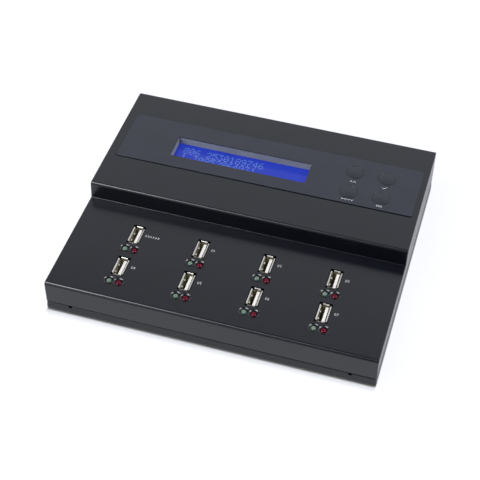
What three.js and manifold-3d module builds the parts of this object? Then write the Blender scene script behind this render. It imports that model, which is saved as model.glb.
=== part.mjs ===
// A desktop flash drive duplicator with a stepped steel case, in millimetres, +Z up.
// X runs to the right, Y runs to the back, and the origin is the bottom centre of the object.
// Inside the case group, Y counts from the front lip of the tray and Z from the underside of the tray.

import * as THREE from "three";
import { mergeVertices } from "three/addons/utils/BufferGeometryUtils.js";
import Module from "manifold-3d";

const wasm = await Module();
wasm.setup();

// Clearances shared by everything that fits together
const fitGap = 0.3;
const snugGap = 0.15;
const seamGap = 0.3;
const rootOverlap = 1;
const cutOverrun = 5;

// Case: a folded top cover over a shallow tray
const caseWidth = 201;
const caseDepth = 170.1;
const sheet = 1;
const lipProud = 1;
const lipSideProud = 0.3;
const trayWallHeight = 4.6;
const trayCorner = 1.6;
const trayFootBend = 0.5;
const trayUpstand = 10.5;
const frontDeckTop = 20.5;
const rearDeckTop = 31.8;
const riserShare = 0.4503;
const riserLean = 1;
const longBend = 2.4;
const riserFootBend = 0.6;
const catchSlotWidth = 2;
const catchSlotDepth = 1.2;
const catchSlotSpread = 170;

// Feet and case screws
const footHeight = 1.5;
const footRadius = 6;
const footTaper = 0.7;
const footInsetX = 22;
const footInsetY = 22.5;
const screwInsetX = 9;
const screwInsetY = 10.5;
const screwHeadRadius = 2.9;
const screwHeadHeight = 1;
const screwShankRadius = 1.4;
const screwLength = 9;
const screwRecessRadius = 1;
const screwRecessDepth = 0.5;
const postRadius = 3.4;
const postBoreDepth = 10;

// Sockets: two rows of four upright receptacles
const socketColumns = 4;
const socketRows = 2;
const socketPitchShare = 0.20547;
const socketPitchY = 26.9;
const socketCentreX = 0.4;
const frontRowY = 26.7;
const socketHeight = 14.2;
const socketProud = 0.4;
const shellWidth = 5.7;
const shellDepth = 13.1;
const shellWall = 0.3;
const shellCorner = 0.7;
const lipFlareX = 0.4;
const lipFlareY = 0.2;
const lipHeight = 0.6;
const cutoutMarginLeft = 0.7;
const cutoutMarginRight = 0.2;
const cutoutMarginFront = 0.2;
const cutoutMarginBack = 0.8;
const tongueThickness = 1.84;
const tongueWidth = 11.1;
const tongueSideGap = 0.65;
const tongueRecess = 0.7;
const tongueBaseHeight = 3;

// Indicator lamps: a green and a red one in front of each socket
const lampSpacing = 5.9;
const lampMiddleX = -0.05;
const lampToSocket = 12.3;
const lampRadius = 1.5;
const lampProud = 0.5;
const lampBodyHeight = 5.3;
const lampFlangeRadius = 1.95;
const lampFlangeHeight = 0.9;
const lampLegSpacing = 2.54;
const lampLegWidth = 0.5;
const lampHoleGap = 0.25;
const lampSinkRadius = 2.7;
const lampSinkDepth = 0.6;

// Main board on pillars that rise from the tray
const boardThickness = 1.6;
const boardToPosts = 1.6;
const mainBoardFront = 12;
const mainBoardBackInset = 8;
const pillarRadius = 3;
const pillarPinRadius = 1.3;
const pillarHeadRadius = 2.7;
const pillarHeadHeight = 1.2;
const pillarInset = 6;
const pillarRowShares = [0.06, 0.5, 0.94];
const chipSize = 14;
const chipHeight = 1.4;
const chipRowShare = 0.59;
const chipCount = 4;
const chipPitch = 36;
const capacitorRadius = 3.2;
const capacitorHeight = 8;
const capacitorShare = -0.21;
const capacitorInset = 21;
const capacitorPitch = 9;
const ribbonWidth = 26;
const ribbonShare = 0.04;
const ribbonToPanel = -6.2;
const ribbonThickness = 0.8;
const ribbonPlugDepth = 5;
const ribbonPlugHeight = 2.5;
const ribbonSwing = 5;

// Control panel in its pressed pan on the rear deck
const panelSideMargin = 5.2;
const panelDepth = 41.1;
const panelCentreX = 1.1;
const panelShare = 0.5408;
const panelThickness = 0.6;
const panelCorner = 1.2;
const panelGroove = 0.9;
const panelSideGap = 0.2;

// Display behind its window
const windowWidth = 88;
const windowDepth = 17.9;
const windowShare = -0.085;
const windowToPanel = -2.05;
const displayDrop = 5.4;
const frameWall = 1.4;
const glassThickness = 2.8;
const glassMargin = 3;
const backlightThickness = 4.2;
const backlightInset = 1;

// Control board that hangs under the pan
const controlBoardDepth = 45;
const controlBoardToPanel = -1.7;
const controlBoardLeftShare = -0.38;
const controlBoardRightShare = 0.44;
const hangerInset = 4.5;

// Push buttons over their key switches
const buttonRadius = 5.5;
const buttonGap = 0.2;
const buttonPitchX = 20.3;
const buttonPitchY = 18.1;
const buttonShare = 0.3239;
const buttonsToPanel = -1.75;
const buttonDome = 0.3;
const buttonFlange = 1;
const buttonFlangeWidth = 1;
const buttonStemRadius = 1.8;
const buttonTravel = 0.5;
const keySwitchSize = 6;
const keySwitchHeight = 3.5;
const keyPlungerRadius = 1.7;
const keyPlungerHeight = 1;

// Power inlet and power switch in the back wall
const inletShare = -0.31;
const inletWidth = 9;
const inletHeight = 11;
const inletDepth = 14;
const inletNoseRadius = 3.9;
const inletBore = 3;
const inletPin = 1;
const inletPinRecess = 1;
const inletBoreDepth = 9;
const inletAxisHeight = 6.4;
const switchShare = 0.3;
const switchZ = 18.5;
const switchCutWidth = 13.2;
const switchCutHeight = 8.8;
const switchBezel = 1.2;
const switchBezelThickness = 1.1;
const switchBodyDepth = 10;
const rockerRadius = 5.2;
const rockerHeight = 5.6;
const rockerPivotDepth = 2.2;
const rockerPinRadius = 0.9;
const rockerPinLength = 0.9;
const rockerTilt = 11;
const rockerCornerAngle = 24;
const rockerDip = 0.5;
const terminalWidth = 3;
const terminalThickness = 0.6;
const terminalLength = 3;

// Facet counts
const bendSteps = 3;
const roundSides = 20;
const smallSides = 10;
const domeSteps = 3;

// Places worked out from the sizes above
const coverBottom = trayWallHeight + seamGap;
const coverFront = lipProud;
const coverBack = caseDepth - lipProud;
const coverWidth = caseWidth - 2 * lipSideProud;
const riserFace = caseDepth * riserShare;
const riserLeanAngle = Math.atan2(riserLean, rearDeckTop - frontDeckTop);
const footSpreadX = caseWidth - 2 * footInsetX;
const footSpreadY = caseDepth - 2 * footInsetY;
const screwSpreadX = caseWidth - 2 * screwInsetX;
const screwSpreadY = caseDepth - 2 * screwInsetY;
const frontDeckUnder = frontDeckTop - sheet;
const postBore = screwShankRadius + fitGap;
const lampHoleRadius = lampRadius + lampHoleGap;
const boardHoleRadius = pillarPinRadius + fitGap;
const socketPitchX = caseWidth * socketPitchShare;
const boardTop = frontDeckTop + socketProud - socketHeight;
const boardUnder = boardTop - boardThickness;
const mainBoardWidth = screwSpreadX - 2 * postRadius - 2 * boardToPosts;
const mainBoardBack = caseDepth - mainBoardBackInset;
const mainBoardDepth = mainBoardBack - mainBoardFront;
const pillarSpreadX = mainBoardWidth - 2 * pillarInset;
const chipRowY = mainBoardFront + mainBoardDepth * chipRowShare;
const capacitorX = caseWidth * capacitorShare;
const capacitorY = mainBoardBack - capacitorInset;
const switchBezelBack = coverBack + switchBezelThickness;
const rockerPivotY = switchBezelBack - rockerPivotDepth;
const rockerCornerReach = rockerRadius * Math.sin(THREE.MathUtils.degToRad(rockerCornerAngle + rockerTilt));
const overallDepth = rockerPivotY + rockerCornerReach;
const panTop = rearDeckTop - panelThickness;
const panUnder = panTop - sheet;
const panelWidth = caseWidth - 2 * panelSideMargin;
const panelMiddleY = riserFace + (caseDepth - riserFace) * panelShare;
const panelFrontY = panelMiddleY - panelDepth / 2;
const windowCentreX = caseWidth * windowShare;
const windowCentreY = panelMiddleY + windowToPanel;
const buttonCentreX = caseWidth * buttonShare;
const buttonCentreY = panelMiddleY + buttonsToPanel;
const ribbonX = caseWidth * ribbonShare;
const ribbonY = panelMiddleY + ribbonToPanel;
const glassTop = rearDeckTop - displayDrop;
const glassUnder = glassTop - glassThickness;
const controlBoardTop = glassUnder - backlightThickness;
const controlBoardUnder = controlBoardTop - boardThickness;
const controlBoardLeft = caseWidth * controlBoardLeftShare;
const controlBoardRight = caseWidth * controlBoardRightShare;
const controlBoardWidth = controlBoardRight - controlBoardLeft;
const controlBoardX = (controlBoardLeft + controlBoardRight) / 2;
const controlBoardY = panelMiddleY + controlBoardToPanel;
const keyPlungerTop = controlBoardTop + keySwitchHeight + keyPlungerHeight;
const inletFront = coverBack - sheet - fitGap;
const inletX = caseWidth * inletShare;
const inletAxisZ = boardTop + inletAxisHeight;
const switchX = caseWidth * switchShare;

// Colours and finishes
const finish = (color, roughness, metalness) => {
  return () => new THREE.MeshStandardMaterial({ color, roughness, metalness });
};
const blackPaint = finish("#404145", 0.5, 0.4);
const trayPaint = finish("#3d3e43", 0.5, 0.4);
const panelFilm = finish("#484b53", 0.45, 0);
const blackRubber = finish("#18181a", 0.9, 0);
const blackPlastic = finish("#1b1b1d", 0.5, 0);
const greyPlastic = finish("#6a7077", 0.6, 0);
const whitePlastic = finish("#efeee8", 0.5, 0);
const nickel = finish("#c9c8c2", 0.25, 1);
const blueGlass = finish("#3040c0", 0.15, 0);
const greenLens = finish("#8fc4a4", 0.15, 0);
const redLens = finish("#b0182c", 0.15, 0);
const boardGreen = finish("#1e5a3a", 0.6, 0);
const darkSteel = finish("#55565a", 0.35, 1);

// A closed geometry as a solid that can be joined and cut
function solidOf(geometry) {
  const bare = geometry.index ? geometry.toNonIndexed() : geometry.clone();
  bare.deleteAttribute("normal");
  bare.deleteAttribute("uv");
  const merged = mergeVertices(bare);
  const corners = Array.from(merged.index.array);
  const kept = [];
  for (let i = 0; i < corners.length; i += 3) {
    const [a, b, c] = corners.slice(i, i + 3);
    if (a !== b && b !== c && c !== a) kept.push(a, b, c);
  }
  const vertProperties = new Float32Array(merged.attributes.position.array);
  const triVerts = new Uint32Array(kept);
  return new wasm.Manifold(new wasm.Mesh({ numProp: 3, vertProperties, triVerts }));
}

function geometryOf(solid) {
  const mesh = solid.getMesh();
  const geometry = new THREE.BufferGeometry();
  geometry.setAttribute("position", new THREE.BufferAttribute(new Float32Array(mesh.vertProperties), 3));
  geometry.setIndex(new THREE.BufferAttribute(new Uint32Array(mesh.triVerts), 1));
  geometry.computeVertexNormals();
  return geometry;
}

function joined(solids) {
  return solids.reduce((all, next) => all.add(next));
}

function cut(solid, tools) {
  return tools.reduce((rest, tool) => rest.subtract(tool), solid);
}

// A box between two corners
function block(x0, x1, y0, y1, z0, z1) {
  const geometry = new THREE.BoxGeometry(x1 - x0, y1 - y0, z1 - z0);
  geometry.translate((x0 + x1) / 2, (y0 + y1) / 2, (z0 + z1) / 2);
  return solidOf(geometry);
}

// A box centred on x and y
function slab(width, depth, z0, z1, x = 0, y = 0) {
  return block(x - width / 2, x + width / 2, y - depth / 2, y + depth / 2, z0, z1);
}

// An upright round bar, or a cone where the two radii differ
function rod(radius, z0, z1, x = 0, y = 0, sides = smallSides, topRadius = radius) {
  const geometry = new THREE.CylinderGeometry(topRadius, radius, z1 - z0, sides);
  geometry.rotateX(Math.PI / 2);
  geometry.translate(x, y, (z0 + z1) / 2);
  return solidOf(geometry);
}

// A round bar along Y
function barAlongY(radius, y0, y1, x, z, sides = smallSides) {
  const geometry = new THREE.CylinderGeometry(radius, radius, y1 - y0, sides);
  geometry.translate(x, (y0 + y1) / 2, z);
  return solidOf(geometry);
}

function roundedRectangle(width, depth, corner) {
  const w = width / 2;
  const d = depth / 2;
  const shape = new THREE.Shape();
  shape.moveTo(w, corner - d);
  shape.lineTo(w, d - corner);
  shape.absarc(w - corner, d - corner, corner, 0, Math.PI / 2);
  shape.lineTo(corner - w, d);
  shape.absarc(corner - w, d - corner, corner, Math.PI / 2, Math.PI);
  shape.lineTo(-w, corner - d);
  shape.absarc(corner - w, corner - d, corner, Math.PI, 1.5 * Math.PI);
  shape.lineTo(w - corner, -d);
  shape.absarc(w - corner, corner - d, corner, 1.5 * Math.PI, 2 * Math.PI);
  return shape;
}

// A slab with round corners, centred on x and y
function roundedSlab(width, depth, corner, z0, z1, x = 0, y = 0, steps = bendSteps) {
  const shape = roundedRectangle(width, depth, corner);
  const geometry = new THREE.ExtrudeGeometry(shape, { depth: z1 - z0, bevelEnabled: false, curveSegments: steps });
  geometry.translate(x, y, z0);
  return solidOf(geometry);
}

// A profile of radius and height turned about Z
function turned(profile, sides = roundSides) {
  const points = profile.map(([radius, height]) => new THREE.Vector2(radius, height));
  const geometry = new THREE.LatheGeometry(points, sides);
  geometry.rotateX(Math.PI / 2);
  return solidOf(geometry);
}

const duplicator = new THREE.Group();
const caseGroup = new THREE.Group();
caseGroup.position.set(0, -overallDepth / 2, footHeight);
duplicator.add(caseGroup);

function place(name, solid, material, x = 0, y = 0, z = 0) {
  const mesh = new THREE.Mesh(geometryOf(solid), material());
  mesh.name = name;
  mesh.position.set(x, y, z);
  caseGroup.add(mesh);
  return mesh;
}

// Repeated places
const sockets = [];
for (let row = 0; row < socketRows; row += 1) {
  for (let column = 0; column < socketColumns; column += 1) {
    const fromMiddle = column - (socketColumns - 1) / 2;
    const rowFromFront = socketRows - 1 - row;
    const x = socketCentreX + fromMiddle * socketPitchX;
    const y = frontRowY + rowFromFront * socketPitchY;
    sockets.push({ number: sockets.length + 1, x, y });
  }
}

const lamps = sockets.flatMap(({ number, x, y }) => {
  const middle = x + lampMiddleX;
  return [
    { name: `lamp_green_${number}`, x: middle - lampSpacing / 2, y: y - lampToSocket, lens: greenLens },
    { name: `lamp_red_${number}`, x: middle + lampSpacing / 2, y: y - lampToSocket, lens: redLens },
  ];
});

const buttons = [
  { name: "up", column: -1, row: 1 },
  { name: "enter", column: 1, row: 1 },
  { name: "down", column: -1, row: -1 },
  { name: "back", column: 1, row: -1 },
].map(({ name, column, row }) => {
  const x = buttonCentreX + (column * buttonPitchX) / 2;
  const y = buttonCentreY + (row * buttonPitchY) / 2;
  return { name, x, y };
});

function corners(spreadX, spreadY, centreX, centreY) {
  return [-1, 1].flatMap((sx) => {
    return [-1, 1].map((sy) => ({ x: centreX + (sx * spreadX) / 2, y: centreY + (sy * spreadY) / 2 }));
  });
}

const feet = corners(footSpreadX, footSpreadY, 0, caseDepth / 2);
const caseScrews = corners(screwSpreadX, screwSpreadY, 0, caseDepth / 2);
const pillars = pillarRowShares.flatMap((share) => {
  const y = mainBoardFront + share * mainBoardDepth;
  return [-1, 1].map((side) => ({ x: (side * pillarSpreadX) / 2, y }));
});
const hangers = corners(
  controlBoardWidth - 2 * hangerInset,
  controlBoardDepth - 2 * hangerInset,
  controlBoardX,
  controlBoardY,
);

// Top cover: side outline, drawn inset from the outer skin, with its open end below the seam
function coverOutline(inset) {
  const outer = longBend - inset;
  const inner = riserFootBend + inset;
  const open = coverBottom - cutOverrun;
  const tangentShare = Math.tan((Math.PI / 2 - riserLeanAngle) / 2);
  const topBendY = riserFace + riserLean + longBend * tangentShare;
  const footBendY = riserFace - riserFootBend * tangentShare;
  const shape = new THREE.Shape();
  shape.moveTo(coverFront + inset, open);
  shape.lineTo(coverBack - inset, open);
  shape.absarc(coverBack - longBend, rearDeckTop - longBend, outer, 0, Math.PI / 2);
  shape.absarc(topBendY, rearDeckTop - longBend, outer, Math.PI / 2, Math.PI - riserLeanAngle);
  shape.absarc(footBendY, frontDeckTop + riserFootBend, inner, -riserLeanAngle, -Math.PI / 2, true);
  shape.absarc(coverFront + longBend, frontDeckTop - longBend, outer, Math.PI / 2, Math.PI);
  return shape;
}

// The outline carried along X between the end plates, which are inset as much as the skin
function coverBody(inset) {
  const width = coverWidth - 2 * inset;
  const geometry = new THREE.ExtrudeGeometry(coverOutline(inset), {
    depth: width,
    bevelEnabled: false,
    curveSegments: bendSteps,
  });
  const along = new THREE.Matrix4();
  along.makeBasis(new THREE.Vector3(0, 1, 0), new THREE.Vector3(0, 0, 1), new THREE.Vector3(1, 0, 0));
  geometry.applyMatrix4(along);
  geometry.translate(-width / 2, 0, 0);
  return solidOf(geometry);
}

function makeTopCover() {
  const belowSeam = slab(caseWidth, caseDepth, -cutOverrun, coverBottom, 0, caseDepth / 2);
  const skin = cut(coverBody(0), [coverBody(sheet), belowSeam]);
  const middle = sheet / 2;

  const panWidth = panelWidth + 2 * panelSideGap;
  const panDepth = panelDepth + panelGroove + panelSideGap;
  const panY = panelFrontY - panelGroove + panDepth / 2;
  const panMetal = roundedSlab(panWidth + 2 * sheet, panDepth + 2 * sheet, panelCorner + sheet,
    panUnder, rearDeckTop - middle, panelCentreX, panY);
  const panHollow = roundedSlab(panWidth, panDepth, panelCorner, panTop, rearDeckTop + cutOverrun, panelCentreX, panY);

  const posts = caseScrews.map(({ x, y }) => {
    const top = y < riserFace ? frontDeckTop : rearDeckTop;
    return rod(postRadius, sheet, top - middle, x, y);
  });
  const postBores = caseScrews.map(({ x, y }) => {
    return rod(postBore, -cutOverrun, sheet + postBoreDepth, x, y);
  });
  const boardHangers = hangers.map(({ x, y }) => joined([
    rod(pillarRadius, controlBoardTop, panUnder + middle, x, y),
    rod(pillarPinRadius, controlBoardUnder - fitGap - pillarHeadHeight / 2, controlBoardTop + middle, x, y),
    rod(pillarHeadRadius, controlBoardUnder - fitGap - pillarHeadHeight, controlBoardUnder - fitGap, x, y),
  ]));

  const socketCuts = sockets.map(({ x, y }) => {
    const halfWidth = shellWidth / 2 + lipFlareX;
    const halfDepth = shellDepth / 2 + lipFlareY;
    return block(x - halfWidth - cutoutMarginLeft, x + halfWidth + cutoutMarginRight,
      y - halfDepth - cutoutMarginFront, y + halfDepth + cutoutMarginBack,
      frontDeckUnder - cutOverrun, frontDeckTop + cutOverrun);
  });
  const lampCuts = lamps.map(({ x, y }) => joined([
    rod(lampHoleRadius, frontDeckUnder - cutOverrun, frontDeckTop + cutOverrun, x, y),
    rod(lampHoleRadius, frontDeckTop - lampSinkDepth, frontDeckTop, x, y, smallSides, lampSinkRadius),
  ]));
  const buttonCuts = buttons.map(({ x, y }) => {
    return rod(buttonRadius + buttonGap, panUnder - cutOverrun, rearDeckTop + cutOverrun, x, y, roundSides);
  });
  const windowCut = slab(windowWidth + 2 * frameWall + 2 * fitGap, windowDepth + 2 * frameWall + 2 * fitGap,
    panUnder - cutOverrun, rearDeckTop + cutOverrun, windowCentreX, windowCentreY);
  const inletCut = barAlongY(inletNoseRadius + fitGap, coverBack - sheet - cutOverrun, coverBack + cutOverrun,
    inletX, inletAxisZ, roundSides);
  const switchCut = block(switchX - switchCutWidth / 2, switchX + switchCutWidth / 2,
    coverBack - sheet - cutOverrun, coverBack + cutOverrun,
    switchZ - switchCutHeight / 2, switchZ + switchCutHeight / 2);

  const whole = joined([skin, panMetal, ...posts, ...boardHangers]);
  return cut(whole, [panHollow, ...postBores, ...socketCuts, ...lampCuts, ...buttonCuts, windowCut, inletCut,
    switchCut]);
}

// Bottom tray: floor, outer wall, and an upstand set in behind the cover
function makeBottomTray() {
  const middleY = caseDepth / 2;
  const ring = (inset, width, z0, z1) => {
    const outside = roundedSlab(caseWidth - 2 * inset, caseDepth - 2 * inset, trayCorner, z0, z1, 0, middleY);
    const hollow = roundedSlab(caseWidth - 2 * inset - 2 * width, caseDepth - 2 * inset - 2 * width, trayCorner,
      z0 - cutOverrun, z1 + cutOverrun, 0, middleY);
    return outside.subtract(hollow);
  };
  const foot = new THREE.ExtrudeGeometry(
    roundedRectangle(caseWidth - 2 * trayFootBend, caseDepth - 2 * trayFootBend, trayCorner - trayFootBend),
    {
      depth: trayWallHeight - trayFootBend,
      bevelEnabled: true,
      bevelSize: trayFootBend,
      bevelThickness: trayFootBend,
      bevelSegments: bendSteps,
      curveSegments: bendSteps,
    },
  );
  foot.translate(0, middleY, trayFootBend);
  const aboveWall = slab(caseWidth + cutOverrun, caseDepth + cutOverrun, trayWallHeight, trayWallHeight + cutOverrun,
    0, middleY);
  const hollow = roundedSlab(caseWidth - 2 * sheet, caseDepth - 2 * sheet, trayCorner - sheet,
    sheet, trayWallHeight + cutOverrun, 0, middleY);
  const upstandInset = lipProud + sheet + fitGap;
  const shelf = ring(sheet / 2, upstandInset + sheet / 2, trayWallHeight - sheet, trayWallHeight);
  const upstand = ring(upstandInset, sheet, trayWallHeight - sheet, trayUpstand);
  const pillarSolids = pillars.map(({ x, y }) => joined([
    rod(pillarRadius, sheet / 2, boardUnder, x, y),
    rod(pillarPinRadius, boardUnder - rootOverlap, boardTop + fitGap + pillarHeadHeight / 2, x, y),
    rod(pillarHeadRadius, boardTop + fitGap, boardTop + fitGap + pillarHeadHeight, x, y),
  ]));
  const screwHoles = caseScrews.map(({ x, y }) => rod(postBore, -cutOverrun, sheet + cutOverrun, x, y));
  const inletNotch = block(inletX - inletWidth / 2 - fitGap, inletX + inletWidth / 2 + fitGap,
    caseDepth - upstandInset - sheet - cutOverrun, coverBack - sheet,
    trayWallHeight, trayUpstand + cutOverrun);
  const catchSlots = [-1, 1].map((side) => {
    return slab(catchSlotWidth, 2 * upstandInset, trayWallHeight - catchSlotDepth, trayWallHeight + cutOverrun,
      (side * catchSlotSpread) / 2);
  });
  const body = cut(solidOf(foot), [aboveWall, hollow]);
  const walled = cut(body.add(shelf), catchSlots);
  return cut(joined([walled, upstand, ...pillarSolids]), [...screwHoles, inletNotch]);
}

place("top_cover", makeTopCover(), blackPaint);
place("bottom_tray", makeBottomTray(), trayPaint);

// Rubber feet, stuck under the tray
feet.forEach(({ x, y }, i) => {
  const solid = rod(footRadius - footTaper, -footHeight, 0, 0, 0, roundSides, footRadius);
  place(`rubber_foot_${i + 1}`, solid, blackRubber, x, y);
});

// Case screws, driven up through the tray into the posts of the cover
caseScrews.forEach(({ x, y }, i) => {
  const head = rod(screwHeadRadius, -screwHeadHeight, 0, 0, 0, roundSides);
  const shank = rod(screwShankRadius, -screwHeadHeight / 2, screwLength);
  const recess = rod(screwRecessRadius, -screwHeadHeight - cutOverrun, screwRecessDepth - screwHeadHeight, 0, 0,
    smallSides / 2);
  place(`case_screw_${i + 1}`, cut(head.add(shank), [recess]), darkSteel, x, y);
});

// Socket shell: a drawn tube with its mouth flared out in four lips
function makeSocketShell() {
  const tube = roundedSlab(shellWidth, shellDepth, shellCorner, 0, socketHeight);
  const bore = roundedSlab(shellWidth - 2 * shellWall, shellDepth - 2 * shellWall, shellCorner - shellWall,
    -cutOverrun, socketHeight + cutOverrun);
  const lipBase = socketHeight - lipHeight;
  const flare = (width, depth, spreadX, spreadY) => {
    const w = width / 2;
    const d = depth / 2;
    const shape = new THREE.Shape();
    shape.moveTo(-w, -d);
    shape.lineTo(w, -d);
    shape.lineTo(w, d);
    shape.lineTo(-w, d);
    const geometry = new THREE.ExtrudeGeometry(shape, { depth: lipHeight, bevelEnabled: false });
    const position = geometry.attributes.position;
    for (let i = 0; i < position.count; i += 1) {
      if (position.getZ(i) > 0) {
        position.setX(i, position.getX(i) + Math.sign(position.getX(i)) * spreadX);
        position.setY(i, position.getY(i) + Math.sign(position.getY(i)) * spreadY);
      }
    }
    geometry.translate(0, 0, lipBase);
    return solidOf(geometry);
  };
  const straightX = shellWidth - 2 * shellCorner;
  const straightY = shellDepth - 2 * shellCorner;
  const lips = joined([
    flare(shellWidth, straightY, lipFlareX, 0),
    flare(straightX, shellDepth, 0, lipFlareY),
  ]);
  const throat = joined([
    flare(shellWidth - 2 * shellWall, straightY, lipFlareX, 0),
    flare(straightX, shellDepth - 2 * shellWall, 0, lipFlareY),
  ]);
  return cut(tube.add(lips), [bore, throat]);
}

// Tongue: the contact blade on the moulded block that fills the foot of the shell
function makeSocketTongue() {
  const innerWidth = shellWidth - 2 * shellWall;
  const innerDepth = shellDepth - 2 * shellWall;
  const base = roundedSlab(innerWidth - 2 * snugGap, innerDepth - 2 * snugGap, shellCorner - shellWall,
    0, tongueBaseHeight);
  const right = innerWidth / 2 - tongueSideGap;
  const blade = block(right - tongueThickness, right, -tongueWidth / 2, tongueWidth / 2,
    tongueBaseHeight / 2, socketHeight - tongueRecess);
  return base.add(blade);
}

const socketShell = makeSocketShell();
const socketTongue = makeSocketTongue();
sockets.forEach(({ number, x, y }) => {
  place(`socket_shell_${number}`, socketShell, nickel, x, y, boardTop);
  place(`socket_tongue_${number}`, socketTongue, whitePlastic, x, y, boardTop);
});

// Indicator lamp: domed body with a flange, standing on two legs
function makeLamp() {
  const top = frontDeckTop + lampProud - boardTop;
  const foot = top - lampBodyHeight;
  const profile = [
    [0, foot],
    [lampFlangeRadius, foot],
    [lampFlangeRadius, foot + lampFlangeHeight],
    [lampRadius, foot + lampFlangeHeight],
  ];
  for (let step = 0; step <= domeSteps; step += 1) {
    const angle = ((Math.PI / 2) * step) / domeSteps;
    const radius = step === domeSteps ? 0 : lampRadius * Math.cos(angle);
    profile.push([radius, top - lampRadius + lampRadius * Math.sin(angle)]);
  }
  const legs = [-1, 1].map((side) => {
    return slab(lampLegWidth, lampLegWidth, 0, foot + lampFlangeHeight / 2, (side * lampLegSpacing) / 2);
  });
  return joined([turned(profile, smallSides), ...legs]);
}

const lamp = makeLamp();
lamps.forEach(({ name, x, y, lens }) => place(name, lamp, lens, x, y, boardTop));

// Main board with its chips, capacitors and the header for the ribbon
function makeMainBoard() {
  const plate = block(-mainBoardWidth / 2, mainBoardWidth / 2, mainBoardFront, mainBoardBack, boardUnder, boardTop);
  const sunk = boardTop - boardThickness / 2;
  const chips = [];
  for (let i = 0; i < chipCount; i += 1) {
    const x = (i - (chipCount - 1) / 2) * chipPitch;
    chips.push(slab(chipSize, chipSize, sunk, boardTop + chipHeight, x, chipRowY));
  }
  const capacitors = [-1, 0, 1].map((i) => {
    return rod(capacitorRadius, sunk, boardTop + capacitorHeight, capacitorX + i * capacitorPitch, capacitorY);
  });
  const header = slab(ribbonWidth, ribbonPlugDepth, sunk, boardTop + ribbonPlugHeight, ribbonX, ribbonY);
  const holes = pillars.map(({ x, y }) => rod(boardHoleRadius, boardUnder - cutOverrun, boardTop + cutOverrun, x, y));
  return cut(joined([plate, ...chips, ...capacitors, header]), holes);
}

place("main_board", makeMainBoard(), boardGreen);

// Control panel film with its window and button holes
function makeControlPanel() {
  const film = roundedSlab(panelWidth, panelDepth, panelCorner, panTop, rearDeckTop, panelCentreX, panelMiddleY);
  const opening = slab(windowWidth, windowDepth, panTop - cutOverrun, rearDeckTop + cutOverrun,
    windowCentreX, windowCentreY);
  const holes = buttons.map(({ x, y }) => {
    return rod(buttonRadius + buttonGap, panTop - cutOverrun, rearDeckTop + cutOverrun, x, y, roundSides);
  });
  return cut(film, [opening, ...holes]);
}

place("control_panel", makeControlPanel(), panelFilm);

// Display: frame that lines the window, glass, backlight
function makeDisplayFrame() {
  const outside = slab(windowWidth + 2 * frameWall, windowDepth + 2 * frameWall, glassTop, panTop,
    windowCentreX, windowCentreY);
  const inside = slab(windowWidth, windowDepth, glassTop - cutOverrun, panTop + cutOverrun,
    windowCentreX, windowCentreY);
  return outside.subtract(inside);
}

const glassWidth = windowWidth + 2 * glassMargin;
const glassDepth = windowDepth + 2 * glassMargin;
place("display_frame", makeDisplayFrame(), greyPlastic);
place("display_glass",
  slab(glassWidth, glassDepth, glassUnder, glassTop, windowCentreX, windowCentreY), blueGlass);
place("display_backlight",
  slab(glassWidth - 2 * backlightInset, glassDepth - 2 * backlightInset, controlBoardTop, glassUnder,
    windowCentreX, windowCentreY), whitePlastic);

// Control board with the upper header of the ribbon
function makeControlBoard() {
  const plate = slab(controlBoardWidth, controlBoardDepth, controlBoardUnder, controlBoardTop,
    controlBoardX, controlBoardY);
  const header = slab(ribbonWidth, ribbonPlugDepth, controlBoardUnder - ribbonPlugHeight,
    controlBoardUnder + boardThickness / 2, ribbonX, ribbonY);
  const holes = hangers.map(({ x, y }) => {
    return rod(boardHoleRadius, controlBoardUnder - cutOverrun, controlBoardTop + cutOverrun, x, y);
  });
  return cut(plate.add(header), holes);
}

place("control_board", makeControlBoard(), boardGreen);

// Ribbon cable between the two headers, bowed towards the front
function makeRibbon() {
  const low = boardTop + ribbonPlugHeight + snugGap;
  const high = controlBoardUnder - ribbonPlugHeight - snugGap;
  const rise = high - low;
  const steps = roundSides / 2;
  const half = ribbonThickness / 2;
  const bow = (t) => -ribbonSwing * Math.sin(Math.PI * t) ** 2;
  const shape = new THREE.Shape();
  shape.moveTo(bow(0) - half, low);
  for (let i = 0; i <= steps; i += 1) {
    shape.lineTo(bow(i / steps) + half, low + (rise * i) / steps);
  }
  for (let i = steps; i >= 0; i -= 1) {
    shape.lineTo(bow(i / steps) - half, low + (rise * i) / steps);
  }
  const geometry = new THREE.ExtrudeGeometry(shape, { depth: ribbonWidth - 2 * fitGap, bevelEnabled: false });
  const along = new THREE.Matrix4();
  along.makeBasis(new THREE.Vector3(0, 1, 0), new THREE.Vector3(0, 0, 1), new THREE.Vector3(1, 0, 0));
  geometry.applyMatrix4(along);
  geometry.translate(fitGap - ribbonWidth / 2, 0, 0);
  return solidOf(geometry);
}

place("ribbon_cable", makeRibbon(), greyPlastic, ribbonX, ribbonY);

// Push button: low dome, retaining flange under the pan, stem down to the key switch
function makeButton() {
  const flangeTop = -panelThickness - sheet - fitGap;
  const flangeUnder = flangeTop - buttonFlange;
  const stemUnder = keyPlungerTop + fitGap + buttonTravel - rearDeckTop;
  const profile = [
    [0, stemUnder],
    [buttonStemRadius, stemUnder],
    [buttonStemRadius, flangeUnder],
    [buttonRadius + buttonFlangeWidth, flangeUnder],
    [buttonRadius + buttonFlangeWidth, flangeTop],
    [buttonRadius, flangeTop],
  ];
  for (let step = 0; step <= domeSteps; step += 1) {
    const share = step / domeSteps;
    profile.push([buttonRadius * (1 - share), buttonDome * (1 - (1 - share) ** 2)]);
  }
  return turned(profile);
}

// Key switch: square body with its round plunger
function makeKeySwitch() {
  const body = slab(keySwitchSize, keySwitchSize, controlBoardTop, controlBoardTop + keySwitchHeight);
  const plunger = rod(keyPlungerRadius, controlBoardTop + keySwitchHeight / 2, keyPlungerTop);
  return body.add(plunger);
}

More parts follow.
